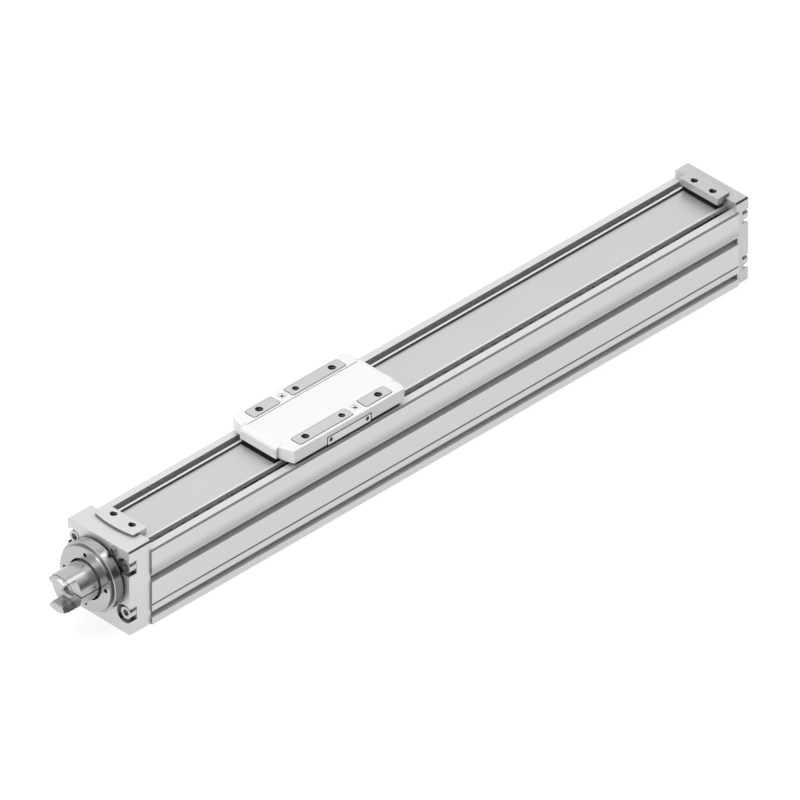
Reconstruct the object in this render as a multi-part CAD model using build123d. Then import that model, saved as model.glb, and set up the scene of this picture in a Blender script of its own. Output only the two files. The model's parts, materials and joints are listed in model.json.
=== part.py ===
from build123d import *
from math import cos, radians, sin
import os

# Screw-driven linear axis. A U-shaped aluminium profile carries a fixed top cover between two end caps.
# The carriage has two webs that pass down the slots beside the cover to a slider on a guide rail, and a
# ball nut in the slider is driven by the screw. A jaw hub on the screw stands out of the drive cap.
# X runs from the drive end to the idle end, the near side is -Y and Z is up. The origin is on the
# underside of the profile, at mid length and mid width. Every radius and length is in millimetres.

# Overall sizes
axis_length = 600.0
profile_width = 63.0
profile_rise = 23.0
cap_step = 1.5
cap_bottom = 0.4
cap_rise = 7.3
screw_height = 39.0
edge_chamfer = 1.2

# Profile section
wall_thickness = 7.1
cavity_floor = 10.0
groove_low = 5.8
groove_high = 11.0
groove_lip = 2.2
groove_depth = 5.0
groove_undercut = 1.2
line_height = 16.6
line_width = 1.4
line_depth = 0.6
cove_low = 35.4
cove_high = 44.2
cove_depth = 5.0
cove_back = 2.6
chamber_wall = 2.3
base_rib_half = 3.5
base_chamber_half = 13.5
base_skin = 2.6
base_chamber_top = 6.8

# Top cover between the two slots
slot_width = 5.2
cover_plate = 1.8
rib_width = 1.9
rib_height = 1.7
cover_seat = 3.0
seat_clearance = 0.1

# End caps
drive_cap_depth = 20.0
idle_cap_depth = 10.5
brow_length = 1.3
brow_gap = 0.1
tongue_side_gap = 0.7
tongue_rise = 1.8
tongue_thickness = 5.6
tongue_reach = 8.4
tongue_bow = 2.1
drive_tongue_front = 15.2
idle_tongue_front = 7.6
tongue_corner = 1.0
tongue_hole_spacing = 18.0
tongue_hole_radius = 2.5
tongue_hole_inset = 5.0
hole_chamfer = 0.4

# Cap screws, M6, in corner pockets that break out of the side
cap_screw_inset = 5.0
cap_screw_low = 16.2
cap_screw_drop = 7.4
cap_screw_radius = 2.7
cap_screw_grip = 12.0
cap_head_radius = 4.9
cap_head_height = 6.0
pocket_radius = 7.3
drive_pocket_depth = 7.1
idle_pocket_depth = 5.8
thread_clearance = 0.05
hex_ratio = 0.5

# Port plug in the front face of the drive cap, just outside the groove of the collar
plug_angle = 31.3
plug_clearance = 1.46
plug_radius = 3.4
plug_thread_radius = 2.4
plug_head = 1.6
plug_depth = 9.0

# Fixed bearing pair, bearing collar and shaft seal in the drive cap
journal_radius = 5.0
bearing_radius = 13.0
bearing_width = 8.0
bearing_count = 2
inner_ring_wall = 2.6
outer_ring_wall = 2.4
shield_thickness = 1.0
running_gap = 0.3
cap_boss_radius = 17.0
cap_boss_wall = 5.0
shoulder_radius = 9.5
spigot_clearance = 0.05
spigot_radius = 16.9
spigot_depth = 6.0
collar_groove_radius = 24.4
collar_groove_width = 2.0
collar_radius = 26.7
collar_ring_width = 8.0
collar_ring_chamfer = 0.5
collar_boss_radius = 24.6
collar_boss_width = 2.8
collar_bore_radius = 15.8
collar_lip_radius = 11.0
collar_lip = 2.2
flange_pcd = 40.0
flange_hole_radius = 1.65
flange_hole_depth = 8.0
pin_hole_radius = 1.1
pin_hole_depth = 3.0
pin_hole_angle = 34.0
pin_hole_inset = 1.6
seal_width = 4.0
lock_nut_radius = 9.0
lock_nut_width = 8.0
sleeve_radius = 7.0
sleeve_width = 6.0

# Coupling hub with two jaws and a clamping slit
hub_radius = 14.4
hub_length = 22.0
jaw_length = 10.0
jaw_half_angle = 34.0
jaw_flat = 7.8
jaw_tip_chamfer = 0.9
jaw_taper_length = 3.3
jaw_taper = 0.5
bore_chamfer = 1.2
slit_width = 1.0
slit_start = 2.0
clamp_screw_offset = 8.2
clamp_screw_inset = 9.0
clamp_screw_radius = 1.25
clamp_head_radius = 2.2
clamp_head_height = 2.5
clamp_seat_drop = 3.5
shaft_setback = 3.0
centre_drill_radius = 1.6

# Ball screw and its floating bearing in the idle cap
screw_radius = 6.0
idle_journal_radius = 4.0
idle_bearing_radius = 8.0
idle_bearing_width = 5.0
idle_ring_wall = 1.5
idle_boss_radius = 12.0
idle_boss_length = 8.0
idle_pocket = 6.0
circlip_width = 0.9
circlip_wall = 1.6
circlip_groove = 0.4
journal_end = 3.0

# Guide rail and runners
rail_half = 9.0
rail_height = 8.0
rail_waist = 1.2
rail_end_gap = 12.0
rail_hole_pitch = 50.0
rail_screw_radius = 1.25
rail_head_radius = 2.6
rail_head_height = 2.6
rail_screw_depth = 3.0
runner_half = 18.0
runner_height = 13.0
runner_floor_gap = 3.0
runner_length = 30.0
runner_inset = 5.0
runner_seal = 2.0
runner_screw_half = 15.5
runner_screw_pitch = 18.0
runner_screw_radius = 1.25
runner_head_radius = 2.6
runner_head_height = 3.0

# Carriage
carriage_from_front = 210.8
slider_inset = 6.4
slider_flange_half = 18.2
slider_flange = 4.0
slider_waist_half = 12.6
slider_arm_low = 46.5
cover_clearance = 0.6
web_gap = 0.7
table_length = 104.8
table_rise = 3.2
table_thickness = 8.2
pad_height = 1.8
pad_width = 9.5
pad_corner = 1.6
pad_end_inset = 8.0
long_pad_inner_end = 6.9
short_pad_inner_end = 19.0
carriage_hole_pitch = 35.0
carriage_row_spacing = 45.0
corner_hole_radius = 2.5
middle_hole_radius = 2.1
carriage_hole_depth = 8.0

# White cover of the carriage and its end pieces
cover_border = 2.75
cover_skirt = 2.4
cover_drop = 0.2
cover_wall = 1.4
cover_gap = 0.2
cover_strip = 1.85
cover_middle_drop = 0.5
cover_corner_reach = 3.7
cover_corner_back = 3.1
cover_corner_bow = 0.6
end_piece_reach = 6.1
bevel_length = 8.0
bevel_drop = 3.7
pad_gap = 0.5
end_piece_overlap = 1.6
end_piece_gap = 0.3
end_foot_length = 6.0
end_foot_inset = 3.5
wiper_side_gap = 0.9
wiper_thickness = 2.5
wiper_inset = 1.4
wiper_grip = 2.0
wiper_clearance = 0.3
cover_screw_offset = 13.0
cover_screw_recess = 3.6
cover_screw_head = 2.9
cover_screw_head_height = 0.9
cover_screw_sink = 1.0
cover_screw_radius = 1.25
cover_screw_length = 6.0

# Side plates of the carriage
plate_length = 42.0
plate_drop = 1.2
plate_height = 6.6
plate_thickness = 1.2
plate_corner = 1.5
plate_gap = 0.5
plate_screw_spacing = 35.0
plate_screw_rise = 3.6
plate_screw_radius = 1.0
plate_head_radius = 1.6
plate_head_height = 0.9
plate_screw_length = 6.0

# Ball nut
nut_radius = 10.0
nut_length = 30.0
nut_flange_radius = 17.0
nut_flange_half_height = 11.5
nut_flange = 6.0
nut_screw_circle = 13.6
nut_screw_angle = 28.0
nut_screw_radius = 1.25
nut_head_radius = 2.4
nut_head_height = 2.4
nut_screw_length = 12.0

# Sensor magnets in the slider and rubber buffers on the caps
magnet_radius = 3.0
magnet_depth = 2.5
magnet_height = 52.0
buffer_thickness = 5.0

# Threaded and locating holes in the underside
base_hole_x = 240.0
base_hole_y = 20.0
base_hole_radius = 2.1
base_hole_depth = 8.0
dowel_x = 255.0
dowel_radius = 2.5
dowel_depth = 2.4

# Places worked out from the sizes
front = -axis_length / 2
back = axis_length / 2
profile_start = front + drive_cap_depth
profile_end = back - idle_cap_depth
profile_height = screw_height + profile_rise
profile_half = profile_width / 2
cavity_half = profile_half - wall_thickness
cap_width = profile_width - 2 * cap_step
cap_top = profile_height + cap_rise
cap_screw_half = cap_width / 2 - cap_screw_inset
cap_screw_high = profile_height - cap_screw_drop
cover_rail_half = cavity_half - slot_width
tongue_half = cover_rail_half - tongue_side_gap
tongue_top = cap_top + tongue_rise
panel_top = profile_height - rib_height
panel_bottom = panel_top - cover_plate
tongue_bottom = tongue_top - tongue_thickness
carriage_x = front + carriage_from_front
slider_bottom = cavity_floor + runner_height
slider_top = panel_bottom - cover_clearance
web_inner = cover_rail_half + web_gap
web_outer = cavity_half - web_gap
table_bottom = profile_height + table_rise
table_top = table_bottom + table_thickness
pad_top = table_top + pad_height
row_half = carriage_row_spacing / 2
pad_outer_end = table_length / 2 - pad_end_inset
cover_half = row_half + pad_width / 2 + cover_border
cover_bottom = table_bottom - cover_drop
cover_top = pad_top - cover_drop
table_half = cover_half - cover_skirt - cover_gap
cover_middle_half = row_half - pad_width / 2 - cover_strip
cover_corner_inner = table_length / 2 + cover_corner_reach
cover_corner_outer = cover_corner_inner - cover_corner_back
cover_end_half = table_length / 2 + end_piece_reach
bevel_start = cover_end_half - bevel_length
end_piece_half = cover_middle_half + end_piece_overlap
end_foot_half = end_piece_half - end_foot_inset
wiper_half = cover_rail_half - rib_width - wiper_side_gap
plate_low = cover_bottom - plate_drop
plate_high = plate_low + plate_height
plate_screw_height = plate_low + plate_screw_rise
pair_front = front + spigot_depth
pair_back = pair_front + bearing_count * bearing_width
plug_reach = collar_groove_radius + plug_clearance + plug_radius
plug_offset = plug_reach * sin(radians(plug_angle))
plug_height = screw_height + plug_reach * cos(radians(plug_angle))
collar_ring_start = front - collar_groove_width
collar_ring_end = collar_ring_start - collar_ring_width
collar_face = collar_ring_end - collar_boss_width
lock_nut_front = pair_front - lock_nut_width
hub_back = lock_nut_front - sleeve_width
hub_face = hub_back - hub_length
jaw_tip = hub_face - jaw_length
idle_boss_start = profile_end - idle_boss_length
idle_bearing_start = idle_boss_start + idle_pocket - idle_bearing_width
idle_bearing_end = idle_boss_start + idle_pocket
thread_end = idle_bearing_start
slider_length = table_length - 2 * slider_inset
runner_spacing = slider_length - runner_length - 2 * runner_inset
slider_start = carriage_x - slider_length / 2
slider_end = carriage_x + slider_length / 2


def block(x_from, x_to, y_from, y_to, z_from, z_to):
    """Box between two corners."""
    corner = (Align.MIN, Align.MIN, Align.MIN)
    return Pos(x_from, y_from, z_from) * Box(x_to - x_from, y_to - y_from, z_to - z_from, align=corner)


def rod_x(radius, x_from, x_to, y=0.0, z=screw_height):
    """Cylinder along X, on the screw axis unless a place is given."""
    low, high = min(x_from, x_to), max(x_from, x_to)
    return Pos((low + high) / 2, y, z) * Rot(0, 90, 0) * Cylinder(radius, high - low)


def rod_y(radius, x, y_from, y_to, z):
    """Cylinder along Y."""
    low, high = min(y_from, y_to), max(y_from, y_to)
    return Pos(x, (low + high) / 2, z) * Rot(90, 0, 0) * Cylinder(radius, high - low)


def rod_z(radius, x, y, z_from, z_to):
    """Cylinder along Z."""
    low, high = min(z_from, z_to), max(z_from, z_to)
    return Pos(x, y, (low + high) / 2) * Cylinder(radius, high - low)


def ring_x(outer, inner, x_from, x_to):
    """Ring about the screw axis."""
    return rod_x(outer, x_from, x_to) - rod_x(inner, x_from, x_to)


def along_x(section, x_from, x_to):
    """Extrudes a section drawn in Y and Z from one X to another."""
    return extrude(Plane.YZ.offset(x_from) * section, x_to - x_from)


def polygon(*points):
    """Closed face through the points."""
    return make_face(Polyline(*points, close=True))


def rectangle(u_from, u_to, v_from, v_to):
    """Rectangular face between two corners."""
    return polygon((u_from, v_from), (u_to, v_from), (u_to, v_to), (u_from, v_to))


def both_sides(shape):
    """A shape and its mirror image across the mid plane."""
    return shape + mirror(shape, about=Plane.XZ)


def screw_head(radius, height):
    """Socket head that stands on its own XY plane, with a hexagonal recess in its top."""
    across_corners = 2 * radius * hex_ratio / cos(radians(30))
    head = Cylinder(radius, height, align=(Align.CENTER, Align.CENTER, Align.MIN))
    socket = extrude(RegularPolygon(across_corners / 2, 6), height / 2)
    return head - Pos(0, 0, height / 2) * socket


# Profile

def profile_outline():
    """Half of the open U section, from the mid plane to the near or far wall."""
    lip = profile_half - groove_lip
    groove_back = profile_half - groove_depth
    return polygon(
        (0, 0),
        (profile_half, 0),
        (profile_half, groove_low),
        (lip, groove_low),
        (lip, groove_low - groove_undercut),
        (groove_back, groove_low - groove_undercut),
        (groove_back, groove_high + groove_undercut),
        (lip, groove_high + groove_undercut),
        (lip, groove_high),
        (profile_half, groove_high),
        (profile_half, line_height - line_width / 2),
        (profile_half - line_depth, line_height),
        (profile_half, line_height + line_width / 2),
        (profile_half, profile_height - edge_chamfer),
        (profile_half - edge_chamfer, profile_height),
        (cavity_half, profile_height),
        (cavity_half, cavity_floor),
        (0, cavity_floor),
    )


def cove_section():
    """Recess in the side wall: a flat floor, a short back and a ceiling that curves out to the surface."""
    inner = profile_half - cove_depth
    ceiling_rise = cove_high - cove_low - cove_back
    centre = (inner, cove_high)
    ceiling = EllipticalCenterArc(centre, cove_depth, ceiling_rise, start_angle=270, arc_size=90)
    rest = Polyline(
        ceiling @ 1,
        (profile_half + 1, cove_high),
        (profile_half + 1, cove_low),
        (inner, cove_low),
        ceiling @ 0,
    )
    return make_face(ceiling + rest)


def chamber_sections():
    """Hollow chambers in the base and in the side walls."""
    wall_inner = cavity_half + chamber_wall
    wall_outer = profile_half - chamber_wall
    low_wall = rectangle(wall_inner, wall_outer, line_height + 4, cove_low - chamber_wall)
    high_wall = rectangle(wall_inner, wall_outer, cove_high + chamber_wall, cap_screw_high - 4)
    base = rectangle(base_rib_half, base_chamber_half, base_skin, base_chamber_top)
    return low_wall + high_wall + base


def screw_channels():
    """Four open channels that the cap screws cut their threads in."""
    radius = cap_screw_radius + thread_clearance
    low = Pos(cap_screw_half, cap_screw_low) * Circle(radius)
    high = Pos(cap_screw_half, cap_screw_high) * Circle(radius)
    return low + high


def profile():
    """Extruded body with its chambers, side grooves, coves and the holes in its underside."""
    half = profile_outline() - cove_section() - chamber_sections() - screw_channels()
    body = both_sides(along_x(half, profile_start, profile_end))
    for x in (-base_hole_x, base_hole_x):
        for y in (-base_hole_y, base_hole_y):
            body -= rod_z(base_hole_radius, x, y, 0, base_hole_depth)
    for x in (-dowel_x, dowel_x):
        body -= rod_z(dowel_radius, x, 0, 0, dowel_depth)
    for x in rail_screw_places():
        hole_bottom = cavity_floor - rail_screw_depth
        body -= rod_z(rail_screw_radius + thread_clearance, x, 0, hole_bottom, cavity_floor)
    return body


def top_cover():
    """Flat panel with a raised rib along each edge, seated in a slot of each cap."""
    half = polygon(
        (0, panel_bottom),
        (cover_rail_half, panel_bottom),
        (cover_rail_half, profile_height),
        (cover_rail_half - rib_width, profile_height),
        (cover_rail_half - rib_width, panel_top),
        (0, panel_top),
    )
    return both_sides(along_x(half, profile_start - cover_seat, profile_end + cover_seat))


# End caps

def cap_block(x_from, x_to):
    """Rectangular cap with chamfered upper side edges."""
    half = cap_width / 2
    outline = polygon(
        (-half, cap_bottom),
        (half, cap_bottom),
        (half, cap_top - edge_chamfer),
        (half - edge_chamfer, cap_top),
        (edge_chamfer - half, cap_top),
        (-half, cap_top - edge_chamfer),
    )
    return along_x(outline, x_from, x_to)


def brow(x_from, x_to):
    """Strip of the cap that reaches over the end of the profile."""
    upper = block(x_from, x_to, -cap_width, cap_width, profile_height + brow_gap, cap_top)
    return cap_block(x_from, x_to) & upper


def tongue(x_front, direction):
    """Raised pad with a bowed front that ends in a tongue over the top cover."""
    length = drive_cap_depth - drive_tongue_front + tongue_reach
    if direction < 0:
        length = idle_cap_depth - idle_tongue_front + tongue_reach
    bow = ThreePointArc((0, -tongue_half), (-tongue_bow, 0), (0, tongue_half))
    outline = make_face(bow + Polyline(
        (0, tongue_half),
        (length, tongue_half),
        (length, -tongue_half),
        (0, -tongue_half),
    ))
    pad = extrude(outline, tongue_thickness)
    far_edges = pad.edges().filter_by(Axis.Z).group_by(Axis.X)[-1]
    pad = fillet(far_edges, tongue_corner)
    for y in (-tongue_hole_spacing / 2, tongue_hole_spacing / 2):
        x = length - tongue_hole_inset
        pad -= rod_z(tongue_hole_radius, x, y, -1, tongue_thickness + 1)
        mouth = Cone(tongue_hole_radius, tongue_hole_radius + hole_chamfer, hole_chamfer)
        pad -= Pos(x, y, tongue_thickness - hole_chamfer / 2) * mouth
    if direction < 0:
        pad = Rot(0, 0, 180) * pad
    return Pos(x_front, 0, tongue_bottom) * pad


def tongue_clearance(x_front, direction):
    """Room under the tongue holes, where a screw comes out."""
    depth = drive_cap_depth - drive_tongue_front
    if direction < 0:
        depth = idle_cap_depth - idle_tongue_front
    x = x_front + direction * (depth + tongue_reach - tongue_hole_inset)
    half = tongue_hole_spacing / 2
    low = profile_height + brow_gap
    return both_sides(rod_z(tongue_hole_radius, x, half, low, tongue_bottom))


def cover_slot(x_from, x_to):
    """Slot in a cap that takes the end of the top cover."""
    half = cover_rail_half + seat_clearance
    return block(x_from, x_to, -half, half, panel_bottom - seat_clearance, profile_height + brow_gap)


def corner_places():
    """Places of the four cap screws, as Y and Z."""
    return [(y, z) for y in (-cap_screw_half, cap_screw_half) for z in (cap_screw_low, cap_screw_high)]


def corner_cuts(outer, floor, inner):
    """Pockets and through holes of the four cap screws."""
    cuts = Part()
    for y, z in corner_places():
        cuts += rod_x(pocket_radius, outer, floor, y, z)
        cuts += rod_x(cap_screw_radius + 3 * thread_clearance, floor, inner, y, z)
    return cuts


def drive_cap():
    """Cap of the drive end: bearing seat, corner pockets, tongue and port hole."""
    tongue_front = front + drive_tongue_front
    cap = cap_block(front, profile_start) + brow(profile_start, profile_start + brow_length)
    cap += tongue(tongue_front, 1)
    cap += rod_x(cap_boss_radius, profile_start, pair_back + cap_boss_wall)
    cap -= tongue_clearance(tongue_front, 1)
    cap -= cover_slot(profile_start - cover_seat - seat_clearance, profile_start + brow_length)
    cap -= corner_cuts(front, front + drive_pocket_depth, profile_start)
    cap -= rod_x(spigot_radius + spigot_clearance, front, pair_front)
    cap -= rod_x(bearing_radius, pair_front, pair_back)
    cap -= rod_x(shoulder_radius, pair_back, pair_back + cap_boss_wall)
    plug_hole = plug_thread_radius + thread_clearance
    cap -= rod_x(plug_hole, front, front + plug_depth + 1, -plug_offset, plug_height)
    return cap


def end_cap():
    """Cap of the idle end: floating bearing seat, corner pockets and tongue."""
    tongue_front = back - idle_tongue_front
    cap = cap_block(profile_end, back) + brow(profile_end - brow_length, profile_end)
    cap += tongue(tongue_front, -1)
    cap += rod_x(idle_boss_radius, idle_boss_start, profile_end)
    cap -= tongue_clearance(tongue_front, -1)
    cap -= cover_slot(profile_end - brow_length, profile_end + cover_seat + seat_clearance)
    cap -= corner_cuts(back, back - idle_pocket_depth, profile_end)
    cap -= rod_x(idle_bearing_radius, idle_boss_start, idle_bearing_end)
    cap -= rod_x(idle_bearing_radius - 1, idle_bearing_end, idle_bearing_end + journal_end + 1)
    return cap


def cap_screws(floor, direction, cap_depth):
    """Four socket screws of one cap."""
    length = abs(cap_depth) + cap_screw_grip
    screws = Part()
    for y, z in corner_places():
        turn = Rot(0, -90 * direction, 0)
        screws += Pos(floor, y, z) * turn * screw_head(cap_head_radius, cap_head_height)
        screws += rod_x(cap_screw_radius, floor, floor + direction * length, y, z)
    return screws


def drive_cap_screws():
    """Screws through the drive cap into the profile."""
    return cap_screws(front + drive_pocket_depth, 1, drive_cap_depth - drive_pocket_depth)


def end_cap_screws():
    """Screws through the idle cap into the profile."""
    return cap_screws(back - idle_pocket_depth, -1, idle_cap_depth - idle_pocket_depth)


def port_plug():
    """Small socket plug above the collar."""
    head = Pos(front, -plug_offset, plug_height) * Rot(0, -90, 0) * screw_head(plug_radius, plug_head)
    return head + rod_x(plug_thread_radius, front, front + plug_depth, -plug_offset, plug_height)


# Drive end

def bearing_collar():
    """Collar turned from one bar: spigot, groove, ring and front boss with four threaded holes."""
    collar = rod_x(spigot_radius, front, pair_front)
    collar += rod_x(collar_groove_radius, front, collar_ring_start)
    ring = rod_x(collar_radius, collar_ring_start, collar_ring_end)
    collar += chamfer(ring.edges().filter_by(GeomType.CIRCLE), collar_ring_chamfer)
    collar += rod_x(collar_boss_radius, collar_ring_end, collar_face)
    collar -= rod_x(collar_bore_radius, collar_face, pair_front - collar_lip)
    collar -= rod_x(collar_lip_radius, collar_face, pair_front)
    for angle in (0, 90, 180, 270):
        y = flange_pcd / 2 * cos(radians(angle))
        z = screw_height + flange_pcd / 2 * sin(radians(angle))
        collar -= rod_x(flange_hole_radius, collar_face, collar_face + flange_hole_depth, y, z)
    for angle in (-pin_hole_angle, pin_hole_angle):
        hole = rod_z(pin_hole_radius, 0, 0, collar_radius - pin_hole_depth, collar_radius + 1)
        place = Pos(collar_ring_start - pin_hole_inset, 0, screw_height)
        collar -= place * Rot(angle, 0, 0) * hole
    return collar


def shaft_seal():
    """Lip seal in the bore of the collar, around the lock nut."""
    seat = pair_front - collar_lip
    return ring_x(collar_bore_radius, lock_nut_radius + running_gap, seat - seal_width, seat)


def bearing_rows():
    """Front faces of the bearings in the fixed pair."""
    return [pair_front + row * bearing_width for row in range(bearing_count)]


def bearing_outer_rings():
    """Outer rings of the fixed pair, each with the shields pressed into it."""
    rings = Part()
    inner_edge = journal_radius + inner_ring_wall + running_gap
    for x in bearing_rows():
        rings += ring_x(bearing_radius, bearing_radius - outer_ring_wall, x, x + bearing_width)
        for face in (x + 0.5, x + bearing_width - 0.5 - shield_thickness):
            rings += ring_x(bearing_radius - outer_ring_wall, inner_edge, face, face + shield_thickness)
    return rings


def bearing_inner_rings():
    """Inner rings of the fixed pair, clamped on the journal by the lock nut."""
    rings = Part()
    for x in bearing_rows():
        rings += ring_x(journal_radius + inner_ring_wall, journal_radius, x, x + bearing_width)
    return rings


def lock_nut():
    """Round nut with four spanner slots that clamps the inner rings."""
    nut = ring_x(lock_nut_radius, journal_radius, lock_nut_front, pair_front)
    depth = 1.5
    for angle in (0, 90, 180, 270):
        low, high = lock_nut_radius - depth, lock_nut_radius + 1
        slot = block(lock_nut_front, lock_nut_front + 3, -1.5, 1.5, low, high)
        nut -= Pos(0, 0, screw_height) * Rot(angle, 0, 0) * slot
    return nut


def spacer_sleeve():
    """Sleeve between the lock nut and the hub."""
    return ring_x(sleeve_radius, journal_radius, hub_back, lock_nut_front)


def jaw_section(outer, flat):
    """Two opposed jaws at the top and the bottom, with flat inner faces, about the screw axis."""
    slope = sin(radians(jaw_half_angle)) / cos(radians(jaw_half_angle))
    reach = 2 * hub_radius
    wedge = polygon(
        (flat * slope, flat),
        (reach * slope, reach),
        (-reach * slope, reach),
        (-flat * slope, flat),
    )
    wedges = wedge + Rot(0, 0, 180) * wedge
    return wedges & Circle(outer)


def coupling_hub():
    """Clamping hub: round body, bore, two jaws, a slit along the near side and a relief across it."""
    hub = rod_x(hub_radius, hub_back, hub_face)
    place = Pos(0, 0, screw_height)
    plain_end = jaw_tip + jaw_taper_length
    tip_start = jaw_tip + jaw_tip_chamfer
    hub += place * along_x(jaw_section(hub_radius, jaw_flat), plain_end, hub_face)
    hub += place * along_x(jaw_section(hub_radius - jaw_taper, jaw_flat), tip_start, plain_end)
    hub += place * jaw_tips(tip_start)
    hub -= rod_x(journal_radius, hub_back, jaw_tip)
    mouth = Cone(journal_radius, journal_radius + bore_chamfer, bore_chamfer)
    hub -= Pos(hub_face + bore_chamfer / 2, 0, screw_height) * Rot(0, -90, 0) * mouth
    low = screw_height - slit_width / 2
    high = screw_height + slit_width / 2
    hub -= block(hub_face - 1, hub_back - slit_start, -hub_radius - 1, 0, low, high)
    relief = hub_back - slit_start - slit_width
    hub -= block(relief, relief + slit_width, -hub_radius - 1, 0, screw_height - hub_radius, high)
    x = hub_back - clamp_screw_inset
    seat = screw_height - clamp_seat_drop
    hub -= rod_z(clamp_screw_radius, x, -clamp_screw_offset, seat, screw_height + clamp_screw_reach())
    hub -= rod_z(clamp_head_radius + 2 * thread_clearance, x, -clamp_screw_offset, 0, seat)
    return hub


def jaw_tips(tip_start):
    """Last stretch of both jaws, which narrows towards their flat ends, about the X axis."""
    wide = Plane.YZ.offset(tip_start) * jaw_section(hub_radius - jaw_taper, jaw_flat)
    end_radius = hub_radius - jaw_taper - jaw_tip_chamfer / 2
    narrow = Plane.YZ.offset(jaw_tip) * jaw_section(end_radius, jaw_flat + jaw_tip_chamfer)
    tips = Part()
    for start, end in zip(wide.faces().sort_by(Axis.Z), narrow.faces().sort_by(Axis.Z)):
        tips += loft([end, start])
    return tips


def clamp_screw_reach():
    """How far the clamp screw runs into the upper half of the hub."""
    return hub_radius / 2


def hub_clamp_screw():
    """Screw that pulls the slit of the hub together, with its head below."""
    x = hub_back - clamp_screw_inset
    seat = screw_height - clamp_seat_drop
    shank = rod_z(clamp_screw_radius, x, -clamp_screw_offset, seat, screw_height + clamp_screw_reach())
    head = Rot(180, 0, 0) * screw_head(clamp_head_radius, clamp_head_height)
    return shank + Pos(x, -clamp_screw_offset, seat) * head


# Screw

def ball_screw():
    """Screw shaft with a bearing journal at each end and a centre drilling in the drive end."""
    shaft_front = hub_face + shaft_setback
    shaft = rod_x(screw_radius, pair_back, thread_end)
    shaft += rod_x(journal_radius, shaft_front, pair_back)
    shaft += rod_x(idle_journal_radius, thread_end, idle_bearing_end + journal_end)
    drilling = Cone(0.2, centre_drill_radius, centre_drill_radius)
    shaft -= Pos(shaft_front + centre_drill_radius / 2, 0, screw_height) * Rot(0, -90, 0) * drilling
    bottom = idle_journal_radius - circlip_groove
    return shaft - ring_x(idle_journal_radius + 1, bottom, idle_bearing_end, circlip_end())


def circlip_end():
    """Idle side of the circlip groove."""
    return idle_bearing_end + circlip_width


def circlip():
    """Open ring that holds the floating bearing on the screw."""
    bottom = idle_journal_radius - circlip_groove
    ring = ring_x(idle_journal_radius + circlip_wall, bottom, idle_bearing_end, circlip_end())
    top = screw_height + idle_boss_radius
    return ring - block(idle_bearing_end, circlip_end(), -1.5, 1.5, screw_height + 1, top)


def idle_outer_ring():
    """Outer ring of the floating bearing, with its shields."""
    bore = idle_bearing_radius - idle_ring_wall
    inner_edge = idle_journal_radius + idle_ring_wall + running_gap
    ring = ring_x(idle_bearing_radius, bore, idle_bearing_start, idle_bearing_end)
    for face in (idle_bearing_start + 0.4, idle_bearing_end - 0.4 - shield_thickness):
        ring += ring_x(bore, inner_edge, face, face + shield_thickness)
    return ring


def idle_inner_ring():
    """Inner ring of the floating bearing."""
    outer = idle_journal_radius + idle_ring_wall
    return ring_x(outer, idle_journal_radius, idle_bearing_start, idle_bearing_end)


# Guide

def rail_ends():
    """First and last X of the guide rail."""
    return pair_back + cap_boss_wall + rail_end_gap, idle_boss_start - rail_end_gap


def rail_screw_places():
    """Evenly pitched places of the rail screws, centred on the rail."""
    start, end = rail_ends()
    count = int((end - start - rail_head_radius * 4) / rail_hole_pitch)
    first = (start + end - count * rail_hole_pitch) / 2
    return [first + step * rail_hole_pitch for step in range(count + 1)]


def rail_section():
    """Half section of the rail, waisted where the balls run."""
    top = cavity_floor + rail_height
    waist = rail_half - rail_waist
    return polygon(
        (0, cavity_floor),
        (rail_half, cavity_floor),
        (rail_half, cavity_floor + rail_height * 0.25),
        (waist, cavity_floor + rail_height * 0.45),
        (waist, cavity_floor + rail_height * 0.6),
        (rail_half, cavity_floor + rail_height * 0.8),
        (rail_half, top),
        (0, top),
    )


def guide_rail():
    """Rail on the floor of the cavity, with counterbored holes."""
    start, end = rail_ends()
    rail = both_sides(along_x(rail_section(), start, end))
    top = cavity_floor + rail_height
    for x in rail_screw_places():
        rail -= rod_z(rail_screw_radius + thread_clearance, x, 0, cavity_floor, top)
        rail -= rod_z(rail_head_radius + thread_clearance, x, 0, top - rail_head_height - 0.4, top)
    return rail


def rail_screws():
    """Row of socket screws that hold the rail."""
    seat = cavity_floor + rail_height - rail_head_height - 0.4
    screws = Part()
    for x in rail_screw_places():
        screws += rod_z(rail_screw_radius, x, 0, cavity_floor - rail_screw_depth, seat)
        screws += Pos(x, 0, seat) * screw_head(rail_head_radius, rail_head_height)
    return screws


def runner_section(clearance):
    """Section of a runner astride the rail."""
    low = cavity_floor + runner_floor_gap
    channel = rail_half + clearance
    channel_top = cavity_floor + rail_height + clearance
    outer = rectangle(-runner_half, runner_half, low, slider_bottom)
    return outer - rectangle(-channel, channel, low, channel_top)


def runner(x_centre):
    """Runner block with four threaded holes in its top."""
    half = runner_length / 2
    body = along_x(runner_section(running_gap), x_centre - half, x_centre + half)
    for x, y in runner_screw_places(x_centre):
        body -= rod_z(runner_screw_radius + thread_clearance, x, y, slider_bottom - 5, slider_bottom)
    return body


def runner_screw_places(x_centre):
    """Places of the four screws of a runner, as X and Y."""
    pitch = runner_screw_pitch / 2
    return [(x_centre + x, y) for x in (-pitch, pitch) for y in (-runner_screw_half, runner_screw_half)]


def runner_centres():
    """X of the two runners."""
    return carriage_x - runner_spacing / 2, carriage_x + runner_spacing / 2


def drive_runner():
    """Runner nearest the drive end."""
    return runner(runner_centres()[0])


def idle_runner():
    """Runner nearest the idle end."""
    return runner(runner_centres()[1])


def runner_seals():
    """End seals on both faces of both runners."""
    seals = Part()
    half = runner_length / 2
    for centre in runner_centres():
        section = runner_section(running_gap)
        seals += along_x(section, centre - half - runner_seal, centre - half)
        seals += along_x(section, centre + half, centre + half + runner_seal)
    return seals


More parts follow.
